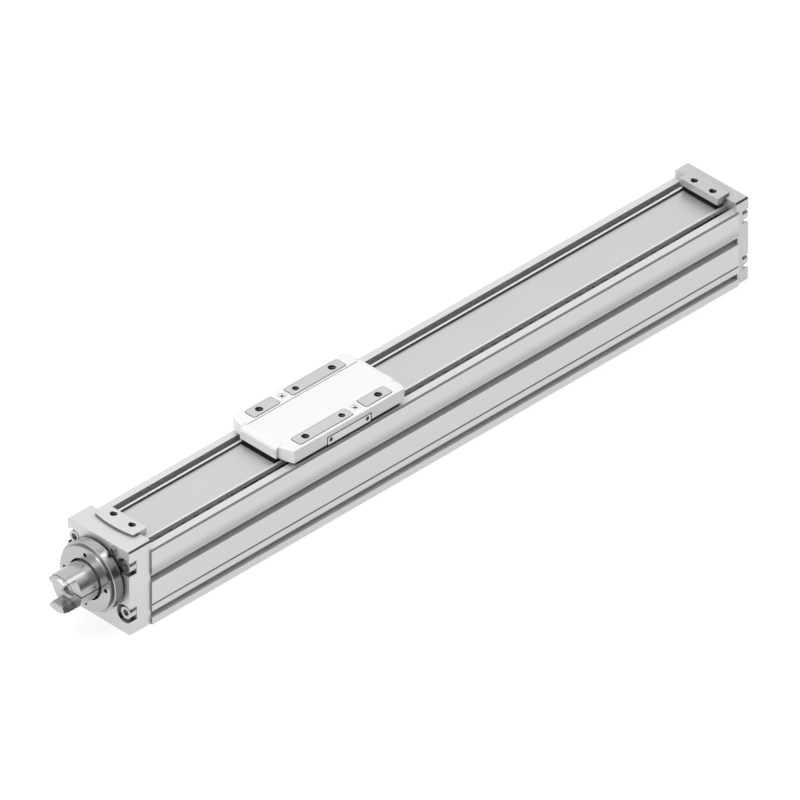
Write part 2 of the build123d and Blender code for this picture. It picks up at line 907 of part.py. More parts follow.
def runner_screws():
    """Screws through the slider flange into the runners."""
    seat = slider_bottom + slider_flange
    screws = Part()
    for centre in runner_centres():
        for x, y in runner_screw_places(centre):
            screws += rod_z(runner_screw_radius, x, y, slider_bottom - 4, seat)
            screws += Pos(x, y, seat) * screw_head(runner_head_radius, runner_head_height)
    return screws


# Carriage

def slider_section():
    """Half section of the slider: flange on the runners, waist round the nut, arm and web."""
    seat = slider_bottom + slider_flange
    return polygon(
        (0, slider_bottom),
        (slider_flange_half, slider_bottom),
        (slider_flange_half, seat),
        (slider_waist_half, seat),
        (slider_waist_half, slider_arm_low),
        (web_outer, slider_arm_low),
        (web_outer, table_bottom),
        (web_inner, table_bottom),
        (web_inner, slider_top),
        (0, slider_top),
    )


def pad_spans(side):
    """X ranges of the raised pads of one row, from the middle of the carriage."""
    if side < 0:
        return [(-pad_outer_end, long_pad_inner_end), (short_pad_inner_end, pad_outer_end)]
    return [(-pad_outer_end, -short_pad_inner_end), (-long_pad_inner_end, pad_outer_end)]


def pads(grow, z_from, z_to):
    """All four raised pads, grown by a gap where they cut the cover."""
    shapes = Part()
    for side in (-1, 1):
        low = side * row_half - pad_width / 2 - grow
        high = side * row_half + pad_width / 2 + grow
        for x_from, x_to in pad_spans(side):
            pad = block(carriage_x + x_from - grow, carriage_x + x_to + grow, low, high, z_from, z_to)
            shapes += fillet(pad.edges().filter_by(Axis.Z), pad_corner + grow)
    return shapes


def carriage_hole(radius, x, y):
    """Blind threaded hole with a chamfered mouth."""
    hole = rod_z(radius, x, y, pad_top - carriage_hole_depth, pad_top)
    return hole + Pos(x, y, pad_top - hole_chamfer / 2) * Cone(radius, radius + hole_chamfer, hole_chamfer)


def carriage_holes():
    """Two rows of three holes."""
    holes = Part()
    for side in (-1, 1):
        for step in (-1, 0, 1):
            radius = middle_hole_radius if step == 0 else corner_hole_radius
            holes += carriage_hole(radius, carriage_x + step * carriage_hole_pitch, side * row_half)
    return holes


def slide_table():
    """Table with its pads, the webs through the slots and the slider below, all one piece."""
    half = table_length / 2
    table = block(carriage_x - half, carriage_x + half, -table_half, table_half, table_bottom, table_top)
    table += pads(0, table_top - 1, pad_top)
    table += both_sides(along_x(slider_section(), slider_start, slider_end))
    table -= carriage_holes()
    table -= rod_x(nut_radius, slider_start, slider_end)
    for centre in runner_centres():
        for x, y in runner_screw_places(centre):
            seat = slider_bottom + slider_flange
            table -= rod_z(runner_screw_radius + 2 * thread_clearance, x, y, slider_bottom, seat)
    for y, z in nut_screw_places():
        thread_radius = nut_screw_radius + thread_clearance
        table -= rod_x(thread_radius, slider_start, slider_start + nut_screw_length, y, z)
    for side in (-1, 1):
        face = side * web_outer
        table -= rod_y(magnet_radius, carriage_x, face - side * magnet_depth, face, magnet_height)
        for x in plate_screw_places():
            inner = side * (cover_half - plate_screw_length - 1)
            thread_radius = plate_screw_radius + thread_clearance
            table -= rod_y(thread_radius, x, inner, side * table_half, plate_screw_height)
    for x, y in cover_screw_places():
        thread_radius = cover_screw_radius + thread_clearance
        table -= rod_z(thread_radius, x, y, table_top - cover_screw_length, table_top)
    return table


def end_envelope():
    """Side outline of the carriage cover, with its curved bevels, as a solid across the full width."""
    low = cover_top - bevel_drop
    right = EllipticalCenterArc((bevel_start, low), bevel_length, bevel_drop, start_angle=0, arc_size=90)
    left = EllipticalCenterArc((-bevel_start, low), bevel_length, bevel_drop, start_angle=90, arc_size=90)
    outline = make_face(
        right
        + Line(right @ 1, left @ 0)
        + left
        + Polyline(left @ 1, (-cover_end_half, cover_bottom), (cover_end_half, cover_bottom), right @ 0)
    )
    solid = extrude(Plane.XZ * outline, cover_half, both=True)
    return Pos(carriage_x, 0, 0) * solid


def cover_plan():
    """Plan of the cover, whose bowed corners fall back from the end pieces."""
    bow_x = (cover_corner_inner + cover_corner_outer) / 2 + cover_corner_bow
    bow_y = (end_piece_half + cover_half) / 2
    edges = []
    for x_side, y_side in ((1, 1), (-1, 1), (-1, -1), (1, -1)):
        inner = (x_side * cover_corner_inner, y_side * end_piece_half)
        outer = (x_side * cover_corner_outer, y_side * cover_half)
        edges.append(ThreePointArc(inner, (x_side * bow_x, y_side * bow_y), outer))
    sides = [
        Line((cover_corner_outer, cover_half), (-cover_corner_outer, cover_half)),
        Line((-cover_corner_inner, end_piece_half), (-cover_corner_inner, -end_piece_half)),
        Line((-cover_corner_outer, -cover_half), (cover_corner_outer, -cover_half)),
        Line((cover_corner_inner, -end_piece_half), (cover_corner_inner, end_piece_half)),
    ]
    return make_face(Curve() + edges + sides)


def cover_screw_places():
    """Places of the two cover screws, one in each row."""
    return [(carriage_x + cover_screw_offset, -row_half), (carriage_x - cover_screw_offset, row_half)]


def plate_screw_places():
    """X of the screws of a side plate."""
    return carriage_x - plate_screw_spacing / 2, carriage_x + plate_screw_spacing / 2


def table_cover():
    """Moulded cover over the table, open below, with openings for the pads, end pieces and side plates."""
    plan = Pos(carriage_x, 0, cover_bottom) * cover_plan()
    shell = extrude(plan, cover_top - cover_bottom) & end_envelope()
    half = table_length / 2 + cover_gap
    inner = table_half + cover_gap
    inside_top = cover_top - cover_wall
    shell -= block(carriage_x - half, carriage_x + half, -inner, inner, cover_bottom, inside_top)
    end_half = end_piece_half + end_piece_gap
    for side in (-1, 1):
        near_end = carriage_x + side * half
        far_end = carriage_x + side * (cover_end_half + 1)
        low, high = min(near_end, far_end), max(near_end, far_end)
        shell -= block(low, high, -end_half, end_half, cover_bottom, cover_top)
    middle = cover_top - cover_middle_drop
    ends = cover_end_half + 1
    low, high = carriage_x - ends, carriage_x + ends
    shell -= block(low, high, -cover_middle_half, cover_middle_half, middle, cover_top)
    shell -= pads(pad_gap, inside_top, cover_top)
    for x, y in cover_screw_places():
        shell -= rod_z(cover_screw_recess, x, y, cover_top - cover_screw_sink, cover_top)
        shell -= rod_z(cover_screw_radius + 2 * thread_clearance, x, y, inside_top, cover_top)
    for side in (-1, 1):
        outer = side * cover_half
        grown = plate_length / 2 + plate_gap
        sunk = side * (cover_half - plate_thickness)
        low, high = min(outer, sunk), max(outer, sunk)
        top = plate_high + plate_gap
        shell -= block(carriage_x - grown, carriage_x + grown, low, high, cover_bottom, top)
        for x in plate_screw_places():
            hole_radius = plate_screw_radius + 2 * thread_clearance
            shell -= rod_y(hole_radius, x, side * inner, outer, plate_screw_height)
    return shell


def end_piece(side):
    """White end piece with a foot under the table, which holds the wiper."""
    table_end = table_length / 2 + cover_gap
    low, high = sorted((carriage_x + side * table_end, carriage_x + side * cover_end_half))
    piece = block(low, high, -end_piece_half, end_piece_half, cover_bottom, cover_top) & end_envelope()
    middle = cover_top - cover_middle_drop
    piece -= block(low, high, -cover_middle_half, cover_middle_half, middle, cover_top)
    pocket_from = side * (cover_end_half - wiper_inset - wiper_thickness)
    pocket_to = side * (cover_end_half - wiper_inset)
    low, high = sorted((carriage_x + pocket_from, carriage_x + pocket_to))
    piece -= block(low, high, -wiper_half, wiper_half, cover_bottom, cover_bottom + wiper_grip)
    foot_from = carriage_x + side * (table_end - end_foot_length)
    low, high = sorted((foot_from, carriage_x + side * table_end))
    foot = block(low, high, -end_foot_half, end_foot_half, foot_bottom(), table_bottom)
    link_end = carriage_x + side * (cover_end_half - wiper_inset - wiper_thickness)
    low, high = sorted((carriage_x + side * table_end, link_end))
    link = block(low, high, -end_foot_half, end_foot_half, foot_bottom(), cover_bottom)
    return piece + foot + link


def foot_bottom():
    """Underside of the feet of the end pieces, clear of the profile and the cover ribs."""
    return profile_height + 1.2


def wiper(side):
    """Black rubber strip that runs just above the cover panel, between its ribs."""
    outer = carriage_x + side * (cover_end_half - wiper_inset)
    inner = outer - side * wiper_thickness
    low, high = sorted((inner, outer))
    lip = panel_top + wiper_clearance
    return block(low, high, -wiper_half, wiper_half, lip, cover_bottom + wiper_grip)


def drive_end_piece():
    """End piece that faces the drive end."""
    return end_piece(-1)


def idle_end_piece():
    """End piece that faces the idle end."""
    return end_piece(1)


def drive_wiper():
    """Wiper of the drive-end piece."""
    return wiper(-1)


def idle_wiper():
    """Wiper of the idle-end piece."""
    return wiper(1)


def cover_screws():
    """Two small pan-head screws that hold the cover."""
    screws = Part()
    seat = cover_top - cover_screw_sink
    for x, y in cover_screw_places():
        head = rod_z(cover_screw_head, x, y, seat, seat + cover_screw_head_height)
        for turn in (0, 90):
            head -= Pos(x, y, seat + cover_screw_head_height) * Rot(0, 0, turn) * Box(3.0, 0.7, 1.0)
        screws += head + rod_z(cover_screw_radius, x, y, table_top - cover_screw_length + 1, seat)
    return screws


def side_plate(side):
    """Thin metal plate let into the side of the cover."""
    low, high = carriage_x - plate_length / 2, carriage_x + plate_length / 2
    outer = side * cover_half
    inner = outer - side * plate_thickness
    plate = block(low, high, min(inner, outer), max(inner, outer), plate_low, plate_high)
    plate = fillet(plate.edges().filter_by(Axis.Y), plate_corner)
    for x in plate_screw_places():
        plate -= rod_y(plate_screw_radius + thread_clearance, x, inner, outer, plate_screw_height)
        sunk = outer - side * plate_head_height
        plate -= rod_y(plate_head_radius + thread_clearance, x, sunk, outer, plate_screw_height)
    return plate


def near_side_plate():
    """Plate on the near side of the carriage."""
    return side_plate(-1)


def far_side_plate():
    """Plate on the far side of the carriage."""
    return side_plate(1)


def side_plate_screws():
    """Four small socket screws of the two side plates."""
    screws = Part()
    for side in (-1, 1):
        seat = side * (cover_half - plate_head_height)
        tip = side * (cover_half - plate_screw_length)
        for x in plate_screw_places():
            head = Rot(90 * -side, 0, 0) * screw_head(plate_head_radius, plate_head_height)
            screws += Pos(x, seat, plate_screw_height) * head
            screws += rod_y(plate_screw_radius, x, tip, seat, plate_screw_height)
    return screws


# Ball nut

def nut_screw_places():
    """Places of the four screws of the ball nut, as Y and Z."""
    places = []
    for angle in (nut_screw_angle, -nut_screw_angle, 180 - nut_screw_angle, 180 + nut_screw_angle):
        y = nut_screw_circle * cos(radians(angle))
        z = screw_height + nut_screw_circle * sin(radians(angle))
        places.append((y, z))
    return places


def ball_nut():
    """Nut body in the bore of the slider, with a flange cut flat above and below."""
    bore = screw_radius + running_gap
    flange_start = slider_start - nut_flange
    nut = rod_x(nut_radius, slider_start, slider_start + nut_length)
    flange = rod_x(nut_flange_radius, flange_start, slider_start)
    low = screw_height - nut_flange_half_height
    high = screw_height + nut_flange_half_height
    reach = nut_flange_radius + 1
    nut += flange & block(flange_start, slider_start, -reach, reach, low, high)
    nut -= rod_x(bore, flange_start, slider_start + nut_length)
    for y, z in nut_screw_places():
        nut -= rod_x(nut_screw_radius + 3 * thread_clearance, flange_start, slider_start, y, z)
        nut -= rod_x(nut_head_radius + thread_clearance, flange_start, flange_start + nut_head_height, y, z)
    return nut


def nut_screws():
    """Four socket screws sunk in the flange of the nut."""
    screws = Part()
    seat = slider_start - nut_flange + nut_head_height
    for y, z in nut_screw_places():
        screws += Pos(seat, y, z) * Rot(0, -90, 0) * screw_head(nut_head_radius, nut_head_height)
        screws += rod_x(nut_screw_radius, seat, slider_start + nut_screw_length - 1, y, z)
    return screws


def sensor_magnets():
    """Disc magnets in the outer faces of the slider arms."""
    magnets = Part()
    for side in (-1, 1):
        face = side * web_outer
        magnets += rod_y(magnet_radius, carriage_x, face - side * magnet_depth, face, magnet_height)
    return magnets


def drive_buffer():
    """Rubber ring on the boss of the drive cap."""
    start = pair_back + cap_boss_wall
    return ring_x(cap_boss_radius, shoulder_radius, start, start + buffer_thickness)


def idle_buffer():
    """Rubber ring on the boss of the idle cap."""
    return ring_x(idle_boss_radius, idle_bearing_radius, idle_boss_start - buffer_thickness, idle_boss_start)


def all_parts():
    """Every node by name, with the function that makes it."""
    return {
        "profile": profile,
        "top_cover": top_cover,
        "drive_cap": drive_cap,
        "end_cap": end_cap,
        "drive_cap_screws": drive_cap_screws,
        "end_cap_screws": end_cap_screws,
        "port_plug": port_plug,
        "bearing_collar": bearing_collar,
        "shaft_seal": shaft_seal,
        "bearing_outer_rings": bearing_outer_rings,
        "idle_outer_ring": idle_outer_ring,
        "guide_rail": guide_rail,
        "rail_screws": rail_screws,
        "drive_buffer": drive_buffer,
        "idle_buffer": idle_buffer,
        "ball_screw": ball_screw,
        "bearing_inner_rings": bearing_inner_rings,
        "idle_inner_ring": idle_inner_ring,
        "circlip": circlip,
        "lock_nut": lock_nut,
        "spacer_sleeve": spacer_sleeve,
        "coupling_hub": coupling_hub,
        "hub_clamp_screw": hub_clamp_screw,
        "slide_table": slide_table,
        "table_cover": table_cover,
        "cover_screws": cover_screws,
        "drive_end_piece": drive_end_piece,
        "idle_end_piece": idle_end_piece,
        "drive_wiper": drive_wiper,
        "idle_wiper": idle_wiper,
        "near_side_plate": near_side_plate,
        "far_side_plate": far_side_plate,
        "side_plate_screws": side_plate_screws,
        "ball_nut": ball_nut,
        "nut_screws": nut_screws,
        "drive_runner": drive_runner,
        "idle_runner": idle_runner,
        "runner_seals": runner_seals,
        "runner_screws": runner_screws,
        "sensor_magnets": sensor_magnets,
    }


os.makedirs("parts", exist_ok=True)
for name, make in all_parts().items():
    export_step(make(), os.path.join("parts", name + ".step"))
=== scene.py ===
import json
import logging
import math
from dataclasses import dataclass, field, replace
from enum import Enum
from functools import partial, reduce

import bpy
import numpy as np
from bpy.types import NodeSocket
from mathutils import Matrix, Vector

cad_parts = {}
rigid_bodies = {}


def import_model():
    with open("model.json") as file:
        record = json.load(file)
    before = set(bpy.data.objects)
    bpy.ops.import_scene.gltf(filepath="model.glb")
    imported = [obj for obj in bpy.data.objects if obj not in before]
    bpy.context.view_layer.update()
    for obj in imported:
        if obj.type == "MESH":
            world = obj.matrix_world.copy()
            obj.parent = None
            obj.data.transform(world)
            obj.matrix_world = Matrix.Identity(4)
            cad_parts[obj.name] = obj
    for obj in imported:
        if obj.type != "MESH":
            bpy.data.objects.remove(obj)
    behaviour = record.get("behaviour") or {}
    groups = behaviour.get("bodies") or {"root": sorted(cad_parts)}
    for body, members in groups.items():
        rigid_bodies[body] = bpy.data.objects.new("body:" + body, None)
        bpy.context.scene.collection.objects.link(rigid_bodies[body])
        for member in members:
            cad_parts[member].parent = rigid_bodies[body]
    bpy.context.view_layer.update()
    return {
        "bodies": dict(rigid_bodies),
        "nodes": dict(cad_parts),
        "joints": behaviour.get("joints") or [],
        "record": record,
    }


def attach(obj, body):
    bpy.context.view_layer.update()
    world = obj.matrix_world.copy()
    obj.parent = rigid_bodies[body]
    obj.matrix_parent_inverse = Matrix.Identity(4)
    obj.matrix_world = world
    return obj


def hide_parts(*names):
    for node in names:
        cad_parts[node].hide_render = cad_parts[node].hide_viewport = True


LOG = logging.getLogger("linear_axis")
MM = 0.001
SCREW_HEIGHT = 39.0


class Grain(Enum):
    """Surface texture of a finish."""

    BLASTED = "blasted"
    DRAWN = "drawn"
    TURNED = "turned"
    GROUND = "ground"
    MOULDED = "moulded"
    ELASTIC = "elastic"


# Streaks along the axis: stretch of the coordinates per metre, and detail of the noise on them
STREAKS = {Grain.DRAWN: ((6.0, 1500.0, 1500.0), 4.0), Grain.GROUND: ((60.0, 2600.0, 2600.0), 3.0)}
# Tool marks round the screw axis, given in the same way
TOOL_MARKS = ((3200.0, 3200.0, 1.0), 3.0)
# Even grain: scale of the noise per metre, and its detail
SPECKLES = {Grain.BLASTED: (2200.0, 5.0), Grain.MOULDED: (1500.0, 4.0), Grain.ELASTIC: (900.0, 5.0)}
# Broad clouds, given in the same way
CLOUDS = (18.0, 3.0)
# Values of a noise between which its wanted range is spread
MIDDLE_HALF = (0.25, 0.75)
# Share of the grain in the roughness, beside the clouds, and size of its flecks as a share of the mottling
GRAIN_SHARE = 0.6
FLECK_SHARE = 0.6
LEAST_ROUGHNESS = 0.04
BUMP_STRENGTH = 0.6
# Rays of the painted shade in hollows
HOLLOW_SAMPLES = 8
# How squarely a face looks along X, Y or Z where its painted shade starts to change and where the change ends
END_FACING = (0.85, 0.95)
SIDE_FACING = (0.78, 0.97)
TOP_FACING = (0.70, 0.95)
# Product of the normal's shares along Y and Z where a chamfer's painted shade starts and ends to change
CHAMFER_LEAN = (0.36, 0.46)
PURE_WHITE = (1.0, 1.0, 1.0, 1.0)
# Corners closer than this become one, in millimetres
JOINING_DISTANCE = 0.002
# In degrees: faces that lean less against each other become one, and edges that are sharper are broken
FLAT_ANGLE = 0.4
EDGE_ANGLE = 38
# Faces across a broken edge
EDGE_STEPS = 2
# Outside threads: rings in one pitch, and fall of the surface per millimetre away from the crest
THREAD_STEPS = 5
THREAD_FALL = 0.6
# Inside threads: height of the ridge and half the width of its foot in pitches, depth of the foot in the wall
# in millimetres, and the fade that is left at the two ends
RIDGE_HEIGHT = 0.5
RIDGE_HALF = 0.42
RIDGE_ROOT = 0.05
RIDGE_END = 0.02


@dataclass(frozen=True)
class Nodes:
    """Node tree of a finish or of the studio's light, with the groups of nodes that they need."""

    tree: bpy.types.NodeTree

    def add(self, kind: str, inputs: dict, operation: str | None = None) -> bpy.types.Node:
        """Adds a node and fills its inputs.

        Args:
            kind: kind of the node, without the words that all kinds start with.
            inputs: a socket to link, or a value to set, by the name or the number of the input.
            operation: what a math node does, or none for other kinds.

        Returns:
            The node.
        """
        node = self.tree.nodes.new("ShaderNode" + kind)
        if operation:
            node.operation = operation
        for name, value in inputs.items():
            if isinstance(value, NodeSocket):
                self.tree.links.new(value, node.inputs[name])
            else:
                node.inputs[name].default_value = value
        return node

    def join(self, operation: str, *values: NodeSocket | float) -> NodeSocket:
        """Result of a math operation on sockets and numbers."""
        return self.add("Math", dict(enumerate(values)), operation).outputs["Value"]

    def product(self, factors: list[NodeSocket]) -> NodeSocket:
        """Product of several sockets."""
        return reduce(partial(self.join, "MULTIPLY"), factors)

    def share(self, vector: NodeSocket, axis: str) -> NodeSocket:
        """Share of a vector along one axis."""
        return self.add("SeparateXYZ", {"Vector": vector}).outputs[axis]

    def leaning(self, axes: str) -> NodeSocket:
        """Size of the product of the normal's shares along one or more axes of the piece."""
        normal = self.add("TexCoord", {}).outputs["Normal"]
        return self.join("ABSOLUTE", self.product([self.share(normal, axis) for axis in axes]))

    def span(self, value: NodeSocket, source: tuple[float, float], target: tuple[float, float],
             smooth: bool = False) -> NodeSocket:
        """Maps one range of a value to another, clamped at both ends.

        Args:
            value: socket with the value.
            source: range of the value.
            target: what the two ends of that range become.
            smooth: True for a change that starts and ends gently, as 3 t^2 - 2 t^3.

        Returns:
            Socket with the result.
        """
        ends = {"From Min": source[0], "From Max": source[1], "To Min": target[0], "To Max": target[1]}
        remap = self.add("MapRange", {"Value": value, **ends})
        remap.interpolation_type = "SMOOTHSTEP" if smooth else "LINEAR"
        return remap.outputs["Result"]

    def noise(self, place: NodeSocket, scale: float, detail: float) -> NodeSocket:
        """Noise at a scale per metre."""
        return self.add("TexNoise", {"Scale": scale, "Detail": detail, "Vector": place}).outputs["Fac"]

    def streaks(self, place: NodeSocket, stretch: tuple[float, float, float],
                detail: float) -> NodeSocket:
        """Noise on coordinates that are scaled unevenly."""
        stretched = self.add("Mapping", {"Scale": stretch, "Vector": place})
        return self.noise(stretched.outputs["Vector"], 1.0, detail)


@dataclass(frozen=True)
class Band:
    """Painted shade or light in a band between two places along an axis of the piece, in millimetres."""

    axis: str
    rise: tuple[float, float]
    fall: tuple[float, float]
    shade: float

    def factor(self, nodes: Nodes, place: NodeSocket) -> NodeSocket:
        """Factor on the colour.

        With d the distance from the middle plane along the axis, r the part of the rise that d has passed and
        f the part of the fall still ahead of it, the factor is 1 + (shade - 1) r f.

        Args:
            nodes: nodes of the finish.
            place: object coordinates in metres.

        Returns:
            Socket with the factor.
        """
        distance = nodes.join("ABSOLUTE", nodes.share(place, self.axis))
        passed = nodes.span(distance, (self.rise[0] * MM, self.rise[1] * MM), (0.0, 1.0))
        ahead = nodes.span(distance, (self.fall[0] * MM, self.fall[1] * MM), (1.0, 0.0))
        return nodes.span(nodes.product([passed, ahead]), (0.0, 1.0), (1.0, self.shade))


@dataclass(frozen=True)
class Finish:
    """One material: its colour, its gloss and the grain that its surface shows.

    The shades are painted shade, factors on the colour: hollow for grooves, holes and slots, side for
    faces that look along Y, end for faces that look along X, edge for chamfers between Y and Z, and wall
    for all faces but those that look along Z. The bands are painted shade or painted light.
    """

    name: str
    slot: str
    colour: tuple[float, float, float]
    metallic: float
    roughness: float
    grain: Grain
    grain_depth: float = 0.01
    mottling: float = 0.03
    roughness_spread: float = 0.08
    gloss: float = 0.5
    # Painted shade in the finish's own hollows, on by default, with the reach and range of its occlusion
    hollow_shade: float = 0.45
    hollow_reach: float = 5.0
    hollow_span: tuple[float, float] = (0.30, 0.85)
    # Painted shade on faces by the way they look along Y, along Y and Z, along X, or not along Z
    side_shade: float = 1.0
    edge_shade: float = 1.0
    end_shade: float = 1.0
    wall_shade: float = 1.0
    # Bands of painted shade or painted light
    bands: tuple[Band, ...] = ()

    def build(self) -> bpy.types.Material:
        """Builds the node tree: mottled colour with painted shade and light, uneven roughness and a fine bump.

        Returns:
            The new material.
        """
        material = bpy.data.materials.new(self.name)
        material.use_nodes = True
        nodes = Nodes(material.node_tree)
        link = material.node_tree.links.new
        shader = material.node_tree.nodes["Principled BSDF"]
        shader.inputs["Metallic"].default_value = self.metallic
        shader.inputs["Specular IOR Level"].default_value = self.gloss
        place = nodes.add("TexCoord", {}).outputs["Object"]
        grain = self._grain(nodes, place)
        broad = nodes.noise(place, *CLOUDS)
        # The finish's own mottling times its painted shade and light
        factors = self._mottle(nodes, grain, broad) + self._shades(nodes, place)
        tint = nodes.add("VectorMath", {0: self.colour, "Scale": nodes.product(factors)}, "SCALE")
        link(tint.outputs["Vector"], shader.inputs["Base Color"])
        low = max(self.roughness - self.roughness_spread, LEAST_ROUGHNESS)
        high = min(self.roughness + self.roughness_spread, 1.0)
        mixed = nodes.join("ADD", nodes.join("MULTIPLY", grain, GRAIN_SHARE),
                           nodes.join("MULTIPLY", broad, 1 - GRAIN_SHARE))
        link(nodes.span(mixed, MIDDLE_HALF, (low, high)), shader.inputs["Roughness"])
        depth = self.grain_depth * MM
        bump = nodes.add("Bump", {"Strength": BUMP_STRENGTH, "Distance": depth, "Height": grain})
        link(bump.outputs["Normal"], shader.inputs["Normal"])
        return material

    def _grain(self, nodes: Nodes, place: NodeSocket) -> NodeSocket:
        """Height pattern of the surface grain, from 0 to 1.

        Args:
            nodes: nodes of the finish.
            place: object coordinates in metres.

        Returns:
            Socket with the height.
        """
        if self.grain is Grain.TURNED:
            return nodes.streaks(self._rings(nodes, place), *TOOL_MARKS)
        if self.grain in STREAKS:
            return nodes.streaks(place, *STREAKS[self.grain])
        return nodes.noise(place, *SPECKLES[self.grain])

    @staticmethod
    def _rings(nodes: Nodes, place: NodeSocket) -> NodeSocket:
        """Coordinates along and away from the screw axis, so that a noise on them becomes tool marks.

        Args:
            nodes: nodes of the finish.
            place: object coordinates in metres.

        Returns:
            Socket with the place along the axis as X and the distance from the axis as Y.
        """
        offset = (0.0, 0.0, -SCREW_HEIGHT * MM)
        centred = nodes.add("Mapping", {"Location": offset, "Vector": place}).outputs["Vector"]
        across = nodes.add("CombineXYZ", {"X": nodes.share(centred, "Y"), "Y": nodes.share(centred, "Z")})
        reach = nodes.add("VectorMath", {0: across.outputs["Vector"]}, "LENGTH")
        both = nodes.add("CombineXYZ", {"X": nodes.share(centred, "X"), "Y": reach.outputs["Value"]})
        return both.outputs["Vector"]

    def _mottle(self, nodes: Nodes, grain: NodeSocket,
                broad: NodeSocket) -> list[NodeSocket]:
        """Factors of the clouds and of the flecks on the colour, from the middle half of each noise.

        Args:
            nodes: nodes of the finish.
            grain: height of the grain.
            broad: noise of the clouds.

        Returns:
            Sockets with the two factors.
        """
        fleck = self.mottling * FLECK_SHARE
        return [nodes.span(broad, MIDDLE_HALF, (1 - self.mottling, 1 + self.mottling)),
                nodes.span(grain, MIDDLE_HALF, (1 - fleck, 1 + fleck))]

    def _shades(self, nodes: Nodes, place: NodeSocket) -> list[NodeSocket]:
        """Factors of the painted shade and light that this finish has.

        A hollow's factor is painted shade that falls with the share of rays from the surface that meet its own
        piece within reach. The others paint shade by the way the face looks, and the bands paint shade or light
        by place. The product of the normal's shares along Y and Z has the size 0.5 on a chamfer that leans
        halfway between the two.

        Args:
            nodes: nodes of the finish.
            place: object coordinates in metres.

        Returns:
            Sockets with the factors.
        """
        factors = []
        # Painted shade: darker where the piece's own occlusion is high
        if self.hollow_shade < 1:
            hollow = nodes.add("AmbientOcclusion", {"Distance": self.hollow_reach * MM})
            hollow.samples = HOLLOW_SAMPLES
            hollow.only_local = True
            factors.append(nodes.span(hollow.outputs["AO"], self.hollow_span, (self.hollow_shade, 1.0)))
        # Painted shade on end faces, walls, sides and chamfers by the way they look
        changes = (("X", END_FACING, (1.0, self.end_shade)), ("Z", TOP_FACING, (self.wall_shade, 1.0)),
                   ("Y", SIDE_FACING, (1.0, self.side_shade)), ("YZ", CHAMFER_LEAN, (1.0, self.edge_shade)))
        for axes, change, shades in changes:
            if min(shades) < 1:
                factors.append(nodes.span(nodes.leaning(axes), change, shades))
        return factors + [band.factor(nodes, place) for band in self.bands]


# Painted shade above the recess and on its floor, painted light on its ceiling
ABOVE_RECESS = Band("Z", (41.6, 42.6), (42.6, 50.5), 0.62)
RECESS_CEILING = Band("Z", (36.5, 38.0), (41.0, 42.2), 1.25)
RECESS_FLOOR = Band("Z", (35.2, 35.3), (35.5, 35.7), 0.78)
# Painted shade at the foot of the cover's ribs, painted highlight on their tops
RIB_FOOT = Band("Y", (16.65, 16.75), (17.3, 17.35), 0.22)
RIB_TOP = Band("Y", (17.3, 17.4), (19.4, 19.5), 1.25)
# The extrusion: painted shade on its end faces and chamfers, and the recess bands; no hollow shade
EXTRUSION = Finish("anodised_extrusion", "profile_aluminium", (0.715, 0.715, 0.715), 0.45, 0.32, Grain.DRAWN,
                   0.004, 0.012, 0.04, hollow_shade=1.0, end_shade=0.35, edge_shade=0.40,
                   bands=(ABOVE_RECESS, RECESS_CEILING, RECESS_FLOOR))
# The cover panel: painted shade in its hollows and the rib bands
COVER_PANEL = Finish("anodised_panel", "cover_aluminium", (0.61, 0.61, 0.61), 0.45, 0.32, Grain.DRAWN, 0.004,
                     0.012, 0.04, bands=(RIB_FOOT, RIB_TOP))
# The caps: painted shade in their hollows, near black in the screw pockets, on chamfers and end faces
CAP = Finish("blasted_caps", "cap_aluminium", (0.70, 0.70, 0.70), 0.60, 0.34, Grain.BLASTED, 0.010, 0.015,
             hollow_shade=0.12, hollow_span=(0.45, 0.92), edge_shade=0.15, end_shade=0.93)
# The table: painted shade in its hollows and, near black, on all its walls
TABLE = Finish("milled_table", "table_aluminium", (0.645, 0.645, 0.645), 0.75, 0.34, Grain.GROUND, 0.008,
               wall_shade=0.06)
# Collar and hub: painted shade in their hollows and on the sides that look along Y, for a dark reflection
COLLAR = Finish("turned_collar", "collar_aluminium", (0.48, 0.48, 0.48), 0.92, 0.18, Grain.TURNED, 0.008,
                side_shade=0.34)
HUB = Finish("turned_hub", "hub_aluminium", (0.53, 0.53, 0.53), 0.82, 0.23, Grain.TURNED, 0.010,
             side_shade=0.85)
# Painted shade in hollows here too, near black in fastener sockets; painted shade on the moulding's sides
SHAFT = Finish("ground_shaft", "screw_steel", (0.52, 0.52, 0.54), 0.95, 0.20, Grain.TURNED, 0.004)
BEARING = Finish("bearing_steel", "bearing_steel", (0.55, 0.55, 0.57), 0.95, 0.20, Grain.TURNED, 0.004)
GUIDE = Finish("guide_steel", "guide_steel", (0.50, 0.50, 0.52), 0.90, 0.28, Grain.GROUND, 0.006)
FASTENER = Finish("fastener_steel", "fastener_steel", (0.58, 0.58, 0.58), 0.90, 0.28, Grain.BLASTED, 0.004,
                  hollow_shade=0.06, hollow_reach=2.5)
PLATE = Finish("brushed_plate", "plate_steel", (0.61, 0.61, 0.61), 0.80, 0.30, Grain.GROUND, 0.006)
WHITE = Finish("white_moulding", "cover_plastic", (0.83, 0.83, 0.83), 0.0, 0.42, Grain.MOULDED, 0.010, 0.01,
               hollow_shade=0.45, hollow_reach=3.0, side_shade=0.86)
SEAL = Finish("dark_end_seals", "seal_plastic", (0.09, 0.095, 0.10), 0.0, 0.50, Grain.MOULDED, 0.012,
              gloss=0.3)
RUBBER = Finish("black_elastomer", "black_rubber", (0.010, 0.010, 0.011), 0.0, 0.80, Grain.ELASTIC, 0.02,
                gloss=0.12)
MAGNET = Finish("plated_magnet", "magnet_metal", (0.55, 0.55, 0.57), 0.95, 0.18, Grain.BLASTED, 0.004)
